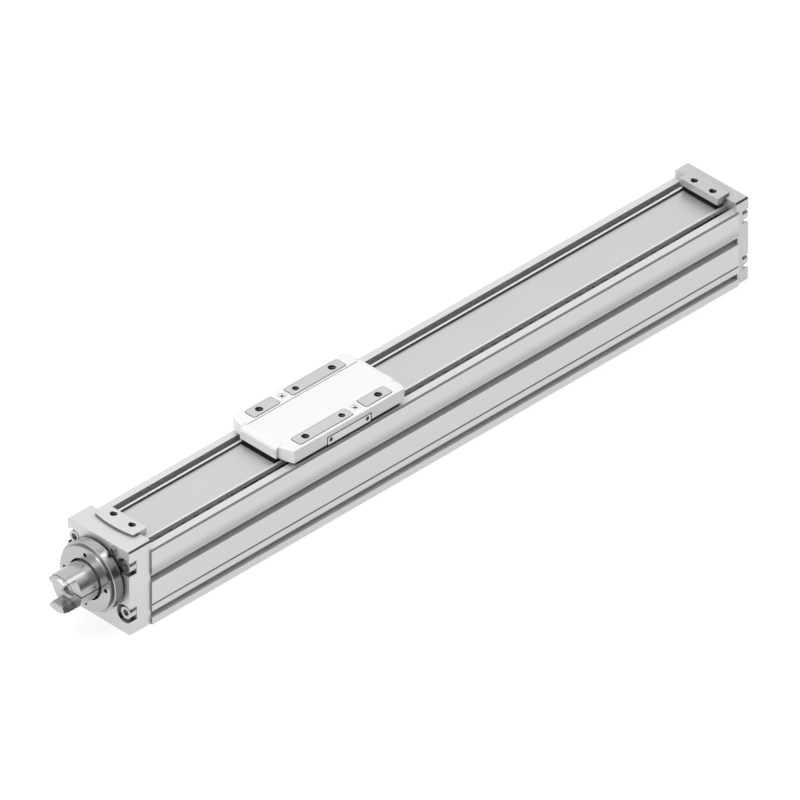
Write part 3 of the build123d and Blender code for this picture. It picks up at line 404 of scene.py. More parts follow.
# Near-black colour of the threads in the table's holes: painted shade in the holes
TABLE_THREAD_SHADE = replace(TABLE, name="table_threads_painted_shade", colour=(0.10, 0.10, 0.10), wall_shade=1.0)
# Cross screws: light heads, with near-black painted shade in the cross recess
COVER_SCREW = replace(FASTENER, name="bright_cross_screws", colour=(0.84, 0.84, 0.84), metallic=0.4,
                      hollow_shade=0.02, hollow_span=(0.55, 0.96))
# Darker copy of the cap finish for the idle cap: painted shade at that end
SHADED_IDLE_CAP = replace(CAP, name="blasted_idle_cap_painted_shade", colour=(0.60, 0.60, 0.60))
DULL_PLUG = replace(FASTENER, name="dull_plug", colour=(0.26, 0.26, 0.27), roughness=0.36,
                    hollow_span=(0.40, 0.95))
BLACKENED = replace(FASTENER, name="blackened_screws", colour=(0.07, 0.07, 0.075), hollow_shade=1.0)
BUFFER = replace(RUBBER, name="grey_buffers", colour=(0.16, 0.16, 0.165))
# Near-black colour of the threads in the tongues' holes: painted shade in the holes
CAP_THREAD_SHADE = replace(CAP, name="cap_threads_painted_shade", colour=(0.10, 0.10, 0.10))
FINISHES = (EXTRUSION, COVER_PANEL, CAP, TABLE, COLLAR, HUB, SHAFT, BEARING, GUIDE, FASTENER, PLATE, WHITE,
            SEAL, RUBBER, MAGNET)
# Nodes that don't have the finish of their slot, the idle cap's being a darker copy as painted shade, and
# widths of the broken edges in millimetres
NODE_FINISHES = {"end_cap": SHADED_IDLE_CAP, "drive_buffer": BUFFER, "idle_buffer": BUFFER}
NODE_EDGES = {"drive_cap": 0.35, "end_cap": 0.35, "coupling_hub": 0.25, "bearing_collar": 0.25}
USUAL_EDGE = 0.2


@dataclass
class Paintbox:
    """Materials by finish, each built once."""

    made: dict[str, bpy.types.Material] = field(default_factory=dict)

    def get(self, finish: Finish) -> bpy.types.Material:
        """Builds the material of a finish when it is first asked for.

        Args:
            finish: the finish.

        Returns:
            Its material.
        """
        if finish.name not in self.made:
            self.made[finish.name] = finish.build()
        return self.made[finish.name]

    def for_slot(self, slot: str) -> bpy.types.Material:
        """Returns the material that belongs to a slot of the record."""
        return self.get(next(finish for finish in FINISHES if finish.slot == slot))


@dataclass
class Workshop:
    """Turns arrays into finished pieces and dresses the nodes that stay."""

    frame: dict
    paints: Paintbox

    def dress_node(self, node: str, edge: float, finish: Finish | None = None) -> None:
        """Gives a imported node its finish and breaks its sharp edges.

        Args:
            node: name of the node.
            edge: width of the broken edges in millimetres.
            finish: finish of its own, or none for the one of its slot.
        """
        record = self.frame["record"]
        slot = next(part["material_slot"] for part in record["subparts"] if part["node"] == node)
        body = self.frame["nodes"][node]
        body.data.materials.clear()
        body.data.materials.append(self.paints.get(finish) if finish else self.paints.for_slot(slot))
        self.soften(body, edge)

    @staticmethod
    def soften(body: bpy.types.Object, edge: float) -> None:
        """Adds the modifiers that join loose triangles, break edges and smooth the shading.

        Args:
            body: object to finish.
            edge: width of the broken edges in millimetres, or 0 for none.
        """
        weld = body.modifiers.new("join", "WELD")
        weld.merge_threshold = JOINING_DISTANCE * MM
        flat = body.modifiers.new("flat", "DECIMATE")
        flat.decimate_type = "DISSOLVE"
        flat.angle_limit = math.radians(FLAT_ANGLE)
        if edge > 0:
            bevel = body.modifiers.new("edge", "BEVEL")
            bevel.width = edge * MM
            bevel.segments = EDGE_STEPS
            bevel.limit_method = "ANGLE"
            bevel.angle_limit = math.radians(EDGE_ANGLE)
            bevel.use_clamp_overlap = True
            bevel.miter_outer = "MITER_ARC"
        normal = body.modifiers.new("shade", "WEIGHTED_NORMAL")
        normal.keep_sharp = True
        for polygon in body.data.polygons:
            polygon.use_smooth = True

    def piece(self, name: str, grids: list["Surface"], finish: Finish, body: str, replaced: tuple[str, ...],
              sharp: float = 32.0) -> bpy.types.Object:
        """Makes one piece from several closed surfaces.

        Args:
            name: name of the piece.
            grids: surfaces that make it up.
            finish: its finish.
            body: body that carries it.
            replaced: nodes that it stands for.
            sharp: angle in degrees above which an edge stays sharp.

        Returns:
            The object, finished and riding on its body.
        """
        vertices = np.concatenate([grid.vertices for grid in grids]) * MM
        faces: list[list[int]] = []
        start = 0
        for grid in grids:
            faces += [[index + start for index in face] for face in grid.faces]
            start += len(grid.vertices)
        mesh = bpy.data.meshes.new(name)
        mesh.from_pydata(vertices.tolist(), [], faces)
        mesh.validate()
        mesh.polygons.foreach_set("use_smooth", [True] * len(mesh.polygons))
        mesh.set_sharp_from_angle(angle=math.radians(sharp))
        mesh.materials.append(self.paints.get(finish))
        made = bpy.data.objects.new(name, mesh)
        bpy.context.scene.collection.objects.link(made)
        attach(made, body)
        if replaced:
            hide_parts(*replaced)
        LOG.info("%s: %d faces", name, len(mesh.polygons))
        return made


@dataclass
class Surface:
    """Closed surface in millimetres: its vertices, and faces as rows of indices."""

    vertices: np.ndarray
    faces: list

    def moved(self, x: float, y: float, z: float) -> "Surface":
        """Returns a copy moved by an offset in millimetres."""
        return Surface(self.vertices + np.array([x, y, z]), self.faces)

    def turned(self, matrix: np.ndarray) -> "Surface":
        """Returns a copy turned about the origin by a 3 by 3 rotation."""
        return Surface(self.vertices @ matrix.T, self.faces)


def rotation(axis: str, degrees: float) -> np.ndarray:
    """Rotation matrix by the right-hand rule.

    Args:
        axis: X, Y or Z.
        degrees: angle of the turn.

    Returns:
        The 3 by 3 matrix.
    """
    c, s = math.cos(math.radians(degrees)), math.sin(math.radians(degrees))
    order = {"X": (1, 2), "Y": (2, 0), "Z": (0, 1)}[axis]
    matrix = np.eye(3)
    matrix[order[0], order[0]] = c
    matrix[order[1], order[1]] = c
    matrix[order[0], order[1]] = -s
    matrix[order[1], order[0]] = s
    return matrix


def ring_faces(rings: int, around: int, closed: bool) -> list[list[int]]:
    """Quads between successive rings of a grid, and between the last and the first where they join.

    Args:
        rings: number of rings.
        around: number of points in each ring.
        closed: True if the last ring joins the first, as on a washer.

    Returns:
        Faces as lists of indices, pointing outwards for rings that turn about +X while X rises.
    """
    ring = np.arange(rings if closed else rings - 1)[:, None]
    step = np.arange(around)[None, :]
    following = (ring + 1) % rings
    after = (step + 1) % around
    quads = np.stack([ring * around + step, ring * around + after, following * around + after,
                      following * around + step], axis=-1).reshape(-1, 4)
    return quads.tolist()


def lathe(profile: np.ndarray, segments: int = 96, shape: np.ndarray | None = None) -> Surface:
    """Turns a profile about the X axis.

    A point at station x, radius r and angle a goes to (x, r s cos a, r s sin a), where s is 1 for a round
    ring, or follows a hexagon: s = cos 30 / cos(a mod 60 - 30), as r is then the radius of the corners.

    Args:
        profile: rows of x and r in millimetres, from the low X side outside round to the inside. A profile
            that starts and ends at radius 0 is closed by its poles, any other is closed on itself.
        segments: points round the axis.
        shape: share of hexagon in each row, from 0 to 1, or None for a round piece.

    Returns:
        The closed surface.
    """
    angle = np.arange(segments) * 2 * np.pi / segments
    hexagon = math.cos(math.pi / 6) / np.cos(np.mod(angle, math.pi / 3) - math.pi / 6)
    share = np.zeros(len(profile)) if shape is None else shape
    scale = (1 - share)[:, None] + share[:, None] * hexagon[None, :]
    poles = profile[0, 1] < 1e-9
    body = profile[1:-1] if poles else profile
    scale = scale[1:-1] if poles else scale
    radius = body[:, 1][:, None] * scale
    stations = np.repeat(body[:, 0][:, None], segments, axis=1)
    points = np.stack([stations, radius * np.cos(angle), radius * np.sin(angle)], axis=-1).reshape(-1, 3)
    faces = ring_faces(len(body), segments, closed=not poles)
    if poles:
        ends = np.array([[profile[0, 0], 0.0, 0.0], [profile[-1, 0], 0.0, 0.0]])
        first, last = len(points), len(points) + 1
        points = np.concatenate([points, ends])
        step = np.arange(segments)
        after = np.roll(step, -1)
        base = (len(body) - 1) * segments
        faces += np.stack([np.full(segments, first), after, step], axis=-1).tolist()
        faces += np.stack([np.full(segments, last), base + step, base + after], axis=-1).tolist()
    return Surface(points, faces)


def slab(top: np.ndarray, bottom: np.ndarray) -> Surface:
    """Closes the space between two grids of points.

    Both grids have the same rows, which run along +X, and columns, which run along +Y. The top keeps its
    order, the bottom is turned over, and a wall of quads joins their rims, taken anticlockwise as seen from +Z.

    Args:
        top: rows by columns by 3 points of the upper face, in millimetres.
        bottom: the same for the lower face.

    Returns:
        The closed surface.
    """
    rows, columns = top.shape[:2]
    index = np.arange(rows * columns).reshape(rows, columns)
    quads = np.stack([index[:-1, :-1], index[1:, :-1], index[1:, 1:], index[:-1, 1:]], axis=-1).reshape(-1, 4)
    rim = np.concatenate([index[:, 0], index[-1, 1:], index[-2::-1, -1], index[0, -2:0:-1]])
    after = np.roll(rim, -1)
    low = rows * columns
    wall = np.stack([rim + low, after + low, after, rim], axis=-1)
    points = np.concatenate([top.reshape(-1, 3), bottom.reshape(-1, 3)])
    return Surface(points, quads.tolist() + (quads[:, ::-1] + low).tolist() + wall.tolist())


def bar(x: tuple[float, float], y: tuple[float, float], z: tuple[float, float]) -> Surface:
    """Closed block between two values of X, of Y and of Z.

    Args:
        x: lowest and highest X in millimetres.
        y: the same for Y.
        z: the same for Z.

    Returns:
        The closed surface.
    """
    plan = np.stack(np.meshgrid(np.array(x), np.array(y), indexing="ij"), axis=-1)
    top = np.concatenate([plan, np.full((2, 2, 1), z[1])], axis=-1)
    bottom = np.concatenate([plan, np.full((2, 2, 1), z[0])], axis=-1)
    return slab(top, bottom)


def off_helix(points: np.ndarray, pitch: float) -> np.ndarray:
    """Distance along X of each point from the nearest turn of a right-hand helix round the X axis.

    The helix runs where x / pitch - a / 2 pi is a whole number, for the angle a round the axis.

    Args:
        points: rows of x, y and z in millimetres.
        pitch: rise of the helix in one turn.

    Returns:
        The distances in millimetres, below 0 on the -X side of the helix.
    """
    turn = points[:, 0] / pitch - np.arctan2(points[:, 2], points[:, 1]) / (2 * np.pi)
    return pitch * (turn - np.round(turn))


def drawn_in(points: np.ndarray, factor: np.ndarray) -> np.ndarray:
    """Multiplies the distance of each point from the X axis by its factor."""
    return np.concatenate([points[:, :1], points[:, 1:] * factor[:, None]], axis=1)


def on_circle(radius: float, degrees: tuple[float, ...], height: float) -> list[tuple[float, float]]:
    """Places as Y and Z on a circle round the X direction, whose centre lies at a height."""
    turns = [math.radians(turn) for turn in degrees]
    return [(radius * math.cos(turn), height + radius * math.sin(turn)) for turn in turns]


def thread_ridge(radius: float, pitch: float, length: float, segments: int = 24) -> Surface:
    """Ridge of an inside thread round the X axis, from x = 0 to x = length.

    At angle a the three corners of the ridge lie at x = pitch a / 2 pi + offset and at the radius of the wall
    or of the crest. The crest's height above the wall is multiplied by a fade that rises as 3 t^2 - 2 t^3 over
    the first half turn and falls in the same way over the last.

    Args:
        radius: radius of the hole's wall.
        pitch: rise in one turn.
        length: length of the threaded stretch.
        segments: steps in one turn.

    Returns:
        The closed ridge.
    """
    turns = length / pitch - 1
    angle = np.linspace(0, turns * 2 * np.pi, int(turns * segments) + 1)
    t = np.clip(np.minimum(angle, angle[-1] - angle) / np.pi, RIDGE_END, 1)
    fade = 3 * t ** 2 - 2 * t ** 3
    wall = np.full(len(angle), radius + RIDGE_ROOT)
    crest = radius - RIDGE_HEIGHT * pitch * fade
    reach = np.stack([wall, crest, wall], axis=-1)
    station = pitch * (angle / (2 * np.pi) + 0.5)[:, None] + np.array([-RIDGE_HALF, 0.0, RIDGE_HALF]) * pitch
    points = np.stack([station, reach * np.cos(angle)[:, None], reach * np.sin(angle)[:, None]], axis=-1)
    last = 3 * (len(angle) - 1)
    faces = ring_faces(len(angle), 3, closed=False) + [[2, 1, 0], [last, last + 1, last + 2]]
    return Surface(points.reshape(-1, 3), faces)


def ball(radius: float, centre: tuple[float, float, float], rings: int = 9, segments: int = 14) -> Surface:
    """Sphere turned from a half circle: x = -r cos t and reach r sin t for t from 0 to pi.

    Args:
        radius: its radius in millimetres.
        centre: its centre.
        rings: points on the half circle.
        segments: points round the axis.

    Returns:
        The closed surface.
    """
    t = np.linspace(0, np.pi, rings)
    profile = np.stack([-radius * np.cos(t), radius * np.sin(t)], axis=-1)
    profile[0, 1] = profile[-1, 1] = 0.0
    return lathe(profile, segments).moved(*centre)


@dataclass(frozen=True)
class SocketScrew:
    """Socket screw along X: head towards -X, shank towards +X, seat at the origin.

    The socket, the rim and the knurls are given as shares of the head's radius.
    """

    radius: float
    length: float
    head_radius: float
    head_height: float
    pitch: float
    knurls: int = 0
    segments: int = 36
    socket_share: float = 0.50
    rim_share: float = 0.10
    knurl_share: float = 0.03

    def surface(self) -> Surface:
        """Head with a rounded rim and a hexagonal socket, and a threaded shank.

        The profile's rows are x, radius and share of hexagon, from the bottom of the socket to the tip.

        Returns:
            One closed surface, turned from one profile.
        """
        top = -self.head_height
        socket = self.head_radius * self.socket_share / math.cos(math.pi / 6)
        rim = self.head_radius * self.rim_share
        head = [
            (top * 0.36, 0.0, 0.0), (top * 0.42, socket * 0.5, 1.0), (top * 0.48, socket * 0.98, 1.0),
            (top * 0.50, socket, 1.0), (top + rim * 0.5, socket, 1.0), (top, socket * 1.14, 0.0),
            (top, self.head_radius - rim, 0.0), (top + rim * 0.3, self.head_radius - rim * 0.3, 0.0),
            (top + rim, self.head_radius, 0.0), (-0.1, self.head_radius, 0.0),
            (0.0, self.head_radius - 0.1, 0.0), (0.0, self.radius, 0.0),
        ]
        stations = np.arange(0.3, self.length - self.radius * 0.3, self.pitch / THREAD_STEPS)
        shank = np.stack([stations, np.full(len(stations), self.radius), np.zeros(len(stations))], axis=-1)
        tip = [(self.length, self.radius * 0.75, 0.0), (self.length, 0.0, 0.0)]
        rows = np.concatenate([np.array(head), shank, np.array(tip)])
        made = lathe(rows[:, :2], self.segments, rows[:, 2])
        return Surface(self._cut(made.vertices), made.faces)

    def _cut(self, points: np.ndarray) -> np.ndarray:
        """Cuts the thread and the knurls.

        The shank's radius falls with the distance from the thread's crest. The radius of the head's side is
        multiplied by 1 - share (1 - |cos(n a / 2)|) for n knurls.

        Args:
            points: points of the plain screw.

        Returns:
            The points moved towards the axis.
        """
        x = points[:, 0]
        radius = np.hypot(points[:, 1], points[:, 2])
        depth = THREAD_FALL * np.abs(off_helix(points, self.pitch))
        on_shank = (x > 0.2) & (radius > self.radius * 0.9)
        factor = np.where(on_shank, 1 - depth / self.radius, 1.0)
        if self.knurls > 0:
            wave = np.abs(np.cos(self.knurls * np.arctan2(points[:, 2], points[:, 1]) / 2))
            on_side = (np.abs(radius - self.head_radius) < 1e-6) & (x < 0)
            factor = np.where(on_side, factor * (1 - self.knurl_share * (1 - wave)), factor)
        return drawn_in(points, factor)


@dataclass(frozen=True)
class CrossScrew:
    """Low-headed screw with a cross recess: seat at the origin, head upwards, shank downwards."""

    radius: float = 1.25
    length: float = 5.6
    head_radius: float = 3.45
    head_height: float = 0.95
    dome: float = 0.15
    pitch: float = 0.45
    segments: int = 24
    arm: float = 1.95
    arm_width: float = 0.55
    recess: float = 0.85
    wall_shares: tuple[float, float] = (0.03, 0.04)
    outer_lines: tuple[float, ...] = (0.72, 0.86, 0.95, 1.0)

    def surfaces(self) -> list[Surface]:
        """Returns the head and the shank, which meet inside the head."""
        return [self._head(), self._shank()]

    def _head(self) -> Surface:
        """Domed head whose top is a square grid drawn into a disc.

        A grid point u, v goes to x = R u sqrt(1 - v^2 / 2), y = R v sqrt(1 - u^2 / 2). The dome falls with
        the fourth power of the share of the radius. The recess is sunk where the point lies in one of two crossed
        arms, a little less towards their ends. Two grid lines stand close together at each of its walls.

        Returns:
            The closed surface.
        """
        near, end = self.arm_width / self.head_radius, self.arm / self.head_radius
        side, tip = self.wall_shares
        half = np.array([0.0, near - side, near, (near + end) / 2, end - tip, end, *self.outer_lines])
        lines = np.concatenate([-half[:0:-1], half])
        u, v = np.meshgrid(lines, lines, indexing="ij")
        x = self.head_radius * u * np.sqrt(1 - v ** 2 / 2)
        y = self.head_radius * v * np.sqrt(1 - u ** 2 / 2)
        share = np.hypot(x, y) / self.head_radius
        slim, long = near - side / 2, end - tip / 2
        sunk = ((np.abs(u) < slim) & (np.abs(v) < long)) | ((np.abs(v) < slim) & (np.abs(u) < long))
        sink = np.where(sunk, self.recess * (1 - 0.5 * share), 0.0)
        height = self.head_height - self.dome * share ** 4 - sink
        top = np.stack([x, y, height], axis=-1)
        bottom = np.stack([x, y, np.zeros_like(x)], axis=-1)
        return slab(top, bottom)

    def _shank(self) -> Surface:
        """Threaded shank, whose radius falls with the distance from the thread's crest.

        Returns:
            The closed surface, pointing downwards.
        """
        start = -0.1
        stations = np.arange(start, self.length - 0.3, self.pitch / THREAD_STEPS)
        rows = np.concatenate([
            [(start, 0.0)],
            np.stack([stations, np.full(len(stations), self.radius)], axis=-1),
            [(self.length, self.radius * 0.7), (self.length, 0.0)],
        ])
        made = lathe(rows, self.segments)
        depth = THREAD_FALL * np.abs(off_helix(made.vertices, self.pitch)) * (made.vertices[:, 0] > 0)
        return Surface(drawn_in(made.vertices, 1 - depth / self.radius), made.faces).turned(rotation("Y", 90))


@dataclass
class EndCaps:
    """Socket screws and plug of the two end caps, threads in their tongues, black strips of painted shade under
    these.
    """

    screw_half: float = 25.0
    screw_levels: tuple[float, float] = (16.2, 54.6)
    drive_seat: float = -292.9
    idle_seat: float = 294.2
    drive_screw: SocketScrew = SocketScrew(2.7, 24.9, 4.9, 6.0, 0.9, knurls=24, segments=48)
    idle_screw: SocketScrew = SocketScrew(2.7, 16.7, 4.9, 6.0, 0.9, knurls=24, segments=48)
    drive_turn: float = 40.0
    idle_turn: float = 25.0
    plug: SocketScrew = SocketScrew(2.4, 9.0, 3.4, 1.6, 0.8, segments=40)
    plug_place: tuple[float, float, float] = (-300.0, -15.2, 64.04)
    hole_stations: tuple[float, float] = (-276.6, 286.1)
    hole_half: float = 9.0
    hole_radius: float = 2.5
    hole_pitch: float = 0.8
    thread_top: float = 70.8
    thread_length: float = 5.1
    strip_stations: tuple[tuple[float, float], ...] = ((-274.4, -271.8), (281.3, 283.9))
    strip_half: float = 16.2
    strip_level: tuple[float, float] = (61.8, 65.5)

    def build(self, shop: Workshop) -> None:
        """Makes the screws, the plug, the threads and the black strips of painted shade under the tongues.

        Args:
            shop: workshop that finishes the pieces.
        """
        places = [(side * self.screw_half, level) for side in (-1, 1) for level in self.screw_levels]
        heads = [self.drive_screw.surface().turned(rotation("X", self.drive_turn * number))
                 .moved(self.drive_seat, y, z) for number, (y, z) in enumerate(places)]
        shop.piece("drive_cap_bolts", heads, FASTENER, "frame", ("drive_cap_screws",))
        heads = [self.idle_screw.surface().turned(rotation("X", self.idle_turn * number))
                 .turned(rotation("Z", 180)).moved(self.idle_seat, y, z)
                 for number, (y, z) in enumerate(places)]
        shop.piece("idle_cap_bolts", heads, FASTENER, "frame", ("end_cap_screws",))
        shop.piece("plug", [self.plug.surface().moved(*self.plug_place)], DULL_PLUG, "frame", ("port_plug",))
        ridge = thread_ridge(self.hole_radius, self.hole_pitch, self.thread_length).turned(rotation("Y", 90))
        ridges = [ridge.moved(x, side * self.hole_half, self.thread_top)
                  for x in self.hole_stations for side in (-1, 1)]
        shop.piece("tongue_threads", ridges, CAP_THREAD_SHADE, "frame", ())
        # Black strips under the tongues: painted shade in the gap between each tongue and the cover panel
        across = (-self.strip_half, self.strip_half)
        strips = [bar(along, across, self.strip_level) for along in self.strip_stations]
        shop.piece("tongue_shade_strips", strips, RUBBER, "frame", ())


@dataclass(frozen=True)
class BallBearing:
    """Shielded ball bearing round the X axis, counted from the -X face of its rings."""

    width: float
    outer: float
    outer_wall: float
    bore: float
    inner_wall: float
    groove: float
    ball_radius: float
    balls: int
    shield_bore: float
    shield_inset: float
    shield_bite: float
    race_share: float = 0.28
    segments: int = 72

    def _ring(self, start: float, outside: float, inside: float, outward: bool) -> Surface:
        """Ring with rounded edges and a raceway.

        The raceway is part of a circle: it sinks by groove (1 - u^2), where u runs from -1 to 1 across it.

        Args:
            start: station of the -X face.
            outside: outer radius.
            inside: inner radius.
            outward: True for a raceway on the outside.

        Returns:
            The closed surface.
        """
        across = np.linspace(-1, 1, 7)
        middle = start + self.width / 2 + across * self.width * self.race_share
        sink = self.groove * (1 - across ** 2)
        edge = min(0.4, self.width * 0.08)
        end = start + self.width
        outer_side = [(start, outside - edge), (start + edge, outside), (end - edge, outside),
                      (end, outside - edge)]
        inner_side = [(end, inside + edge), (end - edge, inside), (start + edge, inside),
                      (start, inside + edge)]
        if outward:
            race = list(zip(middle, outside - sink))
            rows = outer_side[:2] + race + outer_side[2:] + inner_side
        else:
            race = list(zip(middle[::-1], inside + sink[::-1]))
            rows = outer_side + inner_side[:2] + race + inner_side[2:]
        return lathe(np.array(rows), self.segments)

    def _shield(self, face: float, outside: float) -> Surface:
        """Thin shield with a shallow dish between its rims.

        Args:
            face: station of its middle.
            outside: outer radius.

        Returns:
            The closed surface.
        """
        half, dish, rim = 0.25, 1.0, 0.6
        rows = [(face, self.shield_bore), (face, outside - dish), (face - half, outside - rim),
                (face - half, outside), (face + half, outside), (face + half, self.shield_bore)]
        return lathe(np.array(rows), self.segments)

    def outside(self, start: float) -> list[Surface]:
        """Outer ring and its two shields.

        Args:
            start: station of the -X face.

        Returns:
            The closed surfaces.
        """
        wall = self.outer - self.outer_wall
        faces = (start + self.shield_inset, start + self.width - self.shield_inset)
        return [self._ring(start, self.outer, wall, False)] + [self._shield(face, wall + self.shield_bite)
                                                               for face in faces]

    def inside(self, start: float) -> Surface:
        """Returns the inner ring, for the station of the -X face."""
        return self._ring(start, self.bore + self.inner_wall, self.bore, True)

    def rolling(self, start: float) -> list[Surface]:
        """Balls spaced evenly between the rings.

        Args:
            start: station of the -X face of the rings.

        Returns:
            The closed surfaces.
        """
        reach = (self.outer - self.outer_wall + self.bore + self.inner_wall) / 2
        middle = start + self.width / 2
        turns = np.arange(self.balls) * 2 * np.pi / self.balls
        return [ball(self.ball_radius, (middle, reach * math.cos(turn), reach * math.sin(turn))) for turn in turns]


@dataclass
class BearingSeat:
    """Threads of the collar, a black ring of painted shade in its groove, and the fixed and floating bearings."""

    fixed: BallBearing = BallBearing(8.0, 13.0, 2.4, 5.0, 2.6, 0.5, 1.9, 9, 7.9, 0.8, 0.2)
    fixed_starts: tuple[float, float] = (-294.0, -286.0)
    floating: BallBearing = BallBearing(5.0, 8.0, 1.5, 4.0, 1.5, 0.25, 0.72, 12, 5.8, 0.6, 0.1)
    floating_start: float = 282.5
    thread_start: float = -312.4
    thread_length: float = 7.0
    thread_pitch: float = 0.7
    thread_segments: int = 20
    hole_circle: float = 20.0
    hole_radius: float = 1.65
    hole_angles: tuple[float, ...] = (45.0, 135.0, 225.0, 315.0)
    groove_shade_station: float = -301.0
    groove_shade_reach: float = 25.05
    groove_shade_radius: float = 0.7
    groove_shade_points: int = 16

    def build(self, shop: Workshop) -> None:
        """Makes the rings, shields, balls, threads and the black ring of painted shade in the collar's groove.

        Args:
            shop: workshop that finishes the pieces.
        """
        fixed, floating, start = self.fixed, self.floating, self.floating_start
        outers = [surface for first in self.fixed_starts for surface in fixed.outside(first)]
        inners = [fixed.inside(first) for first in self.fixed_starts]
        balls = [surface for first in self.fixed_starts for surface in fixed.rolling(first)]
        pieces = (
            ("fixed_pair_outer", outers, "frame", ("bearing_outer_rings",)),
            ("fixed_pair_inner", inners, "screw", ("bearing_inner_rings",)),
            ("fixed_pair_balls", balls, "screw", ()),
            ("idle_outer", floating.outside(start), "frame", ("idle_outer_ring",)),
            ("idle_inner", [floating.inside(start)], "screw", ("idle_inner_ring",)),
            ("idle_balls", floating.rolling(start), "screw", ()),
        )
        for name, surfaces, body, replaced in pieces:
            raised = [surface.moved(0.0, 0.0, SCREW_HEIGHT) for surface in surfaces]
            shop.piece(name, raised, BEARING, body, replaced)
        ridge = thread_ridge(self.hole_radius, self.thread_pitch, self.thread_length, self.thread_segments)
        ridges = [ridge.moved(self.thread_start, y, z)
                  for y, z in on_circle(self.hole_circle, self.hole_angles, SCREW_HEIGHT)]
        shop.piece("collar_threads", ridges, COLLAR, "frame", ())
        # Black ring in the collar's groove by the cap: painted shade
        turn = np.pi - np.arange(self.groove_shade_points) * 2 * np.pi / self.groove_shade_points
        profile = np.stack([self.groove_shade_station + self.groove_shade_radius * np.cos(turn),
                            self.groove_shade_reach + self.groove_shade_radius * np.sin(turn)], axis=-1)
        shop.piece("collar_groove_shade", [lathe(profile).moved(0.0, 0.0, SCREW_HEIGHT)], RUBBER, "frame", ())


@dataclass
class DriveScrew:
    """Ball screw with its journals, and the clamping screw of the hub."""

    lead: float = 12.0
    radius: float = 6.0
    groove_radius: float = 1.35
    groove_depth: float = 0.85
    groove_clear: float = 8.0
    groove_fade: float = 3.0
    shaft_front: float = -327.0
    thread_start: float = -278.0
    thread_end: float = 282.5
    thread_chamfer: float = 0.5
    journal: float = 5.0
    idle_journal: float = 4.0
    journal_chamfer: float = 0.4
    shaft_back: float = 290.5
    ring_groove: tuple[float, float, float] = (287.5, 288.4, 3.6)
    drilling: float = 1.6
    clamp: SocketScrew = SocketScrew(1.25, 10.7, 2.2, 2.5, 0.45, segments=30)
    clamp_place: tuple[float, float, float] = (-317.0, -8.2, 35.5)

    def build(self, shop: Workshop) -> None:
        """Makes the shaft and the clamping screw.

        Args:
            shop: workshop that finishes the pieces.
        """
        shaft = self._shaft().moved(0.0, 0.0, SCREW_HEIGHT)
        shop.piece("screw_shaft", [shaft], SHAFT, "screw", ("ball_screw",), 40.0)
        clamp = self.clamp.surface().turned(rotation("Y", -90)).moved(*self.clamp_place)
        shop.piece("clamp_bolt", [clamp], FASTENER, "screw", ("hub_clamp_screw",))

    def _shaft(self) -> Surface:
        """Turned shaft with a right-hand ball groove.

        The distance d of a point from the groove's middle is its distance along X times the cosine of the
        lead angle. The radius falls by sqrt(g^2 - d^2) - (g - depth) where that is above 0, for a groove of
        radius g. The groove fades out before each shoulder.

        Returns:
            The closed surface.
        """
        low, high, bottom = self.ring_groove
        chamfer, journal, idle = self.journal_chamfer, self.journal, self.idle_journal
        start, end, shoulder = self.thread_start, self.thread_end, self.radius - self.thread_chamfer
        head = [(self.shaft_front + self.drilling, 0.0), (self.shaft_front, self.drilling),
                (self.shaft_front, journal - chamfer), (self.shaft_front + chamfer, journal),
                (start - 0.1, journal), (start, journal + 0.1), (start, shoulder),
                (start + self.thread_chamfer, self.radius)]
        tail = [(end - self.thread_chamfer, self.radius), (end, shoulder), (end, idle), (low, idle),
                (low, bottom), (high, bottom), (high, idle), (self.shaft_back - chamfer, idle),
                (self.shaft_back, idle - chamfer), (self.shaft_back, 0.0)]
        stations = np.arange(start + 1.0, end - 0.9, 0.7)
        thread = np.stack([stations, np.full(len(stations), self.radius)], axis=-1)
        made = lathe(np.concatenate([head, thread, tail]), 48)
        x = made.vertices[:, 0]
        radius = np.hypot(made.vertices[:, 1], made.vertices[:, 2])
        lean = math.cos(math.atan(self.lead / (2 * math.pi * self.radius)))
        away = off_helix(made.vertices, self.lead) * lean
        inside = np.sqrt(np.clip(self.groove_radius ** 2 - away ** 2, 0, None))
        clear = np.minimum(x - start, end - x) - self.groove_clear
        fade = np.clip(clear / self.groove_fade, 0, 1)
        cut = np.clip(inside - (self.groove_radius - self.groove_depth), 0, None) * fade
        factor = np.where(radius > self.radius * 0.98, 1 - cut / self.radius, 1.0)
        return Surface(drawn_in(made.vertices, factor), made.faces)


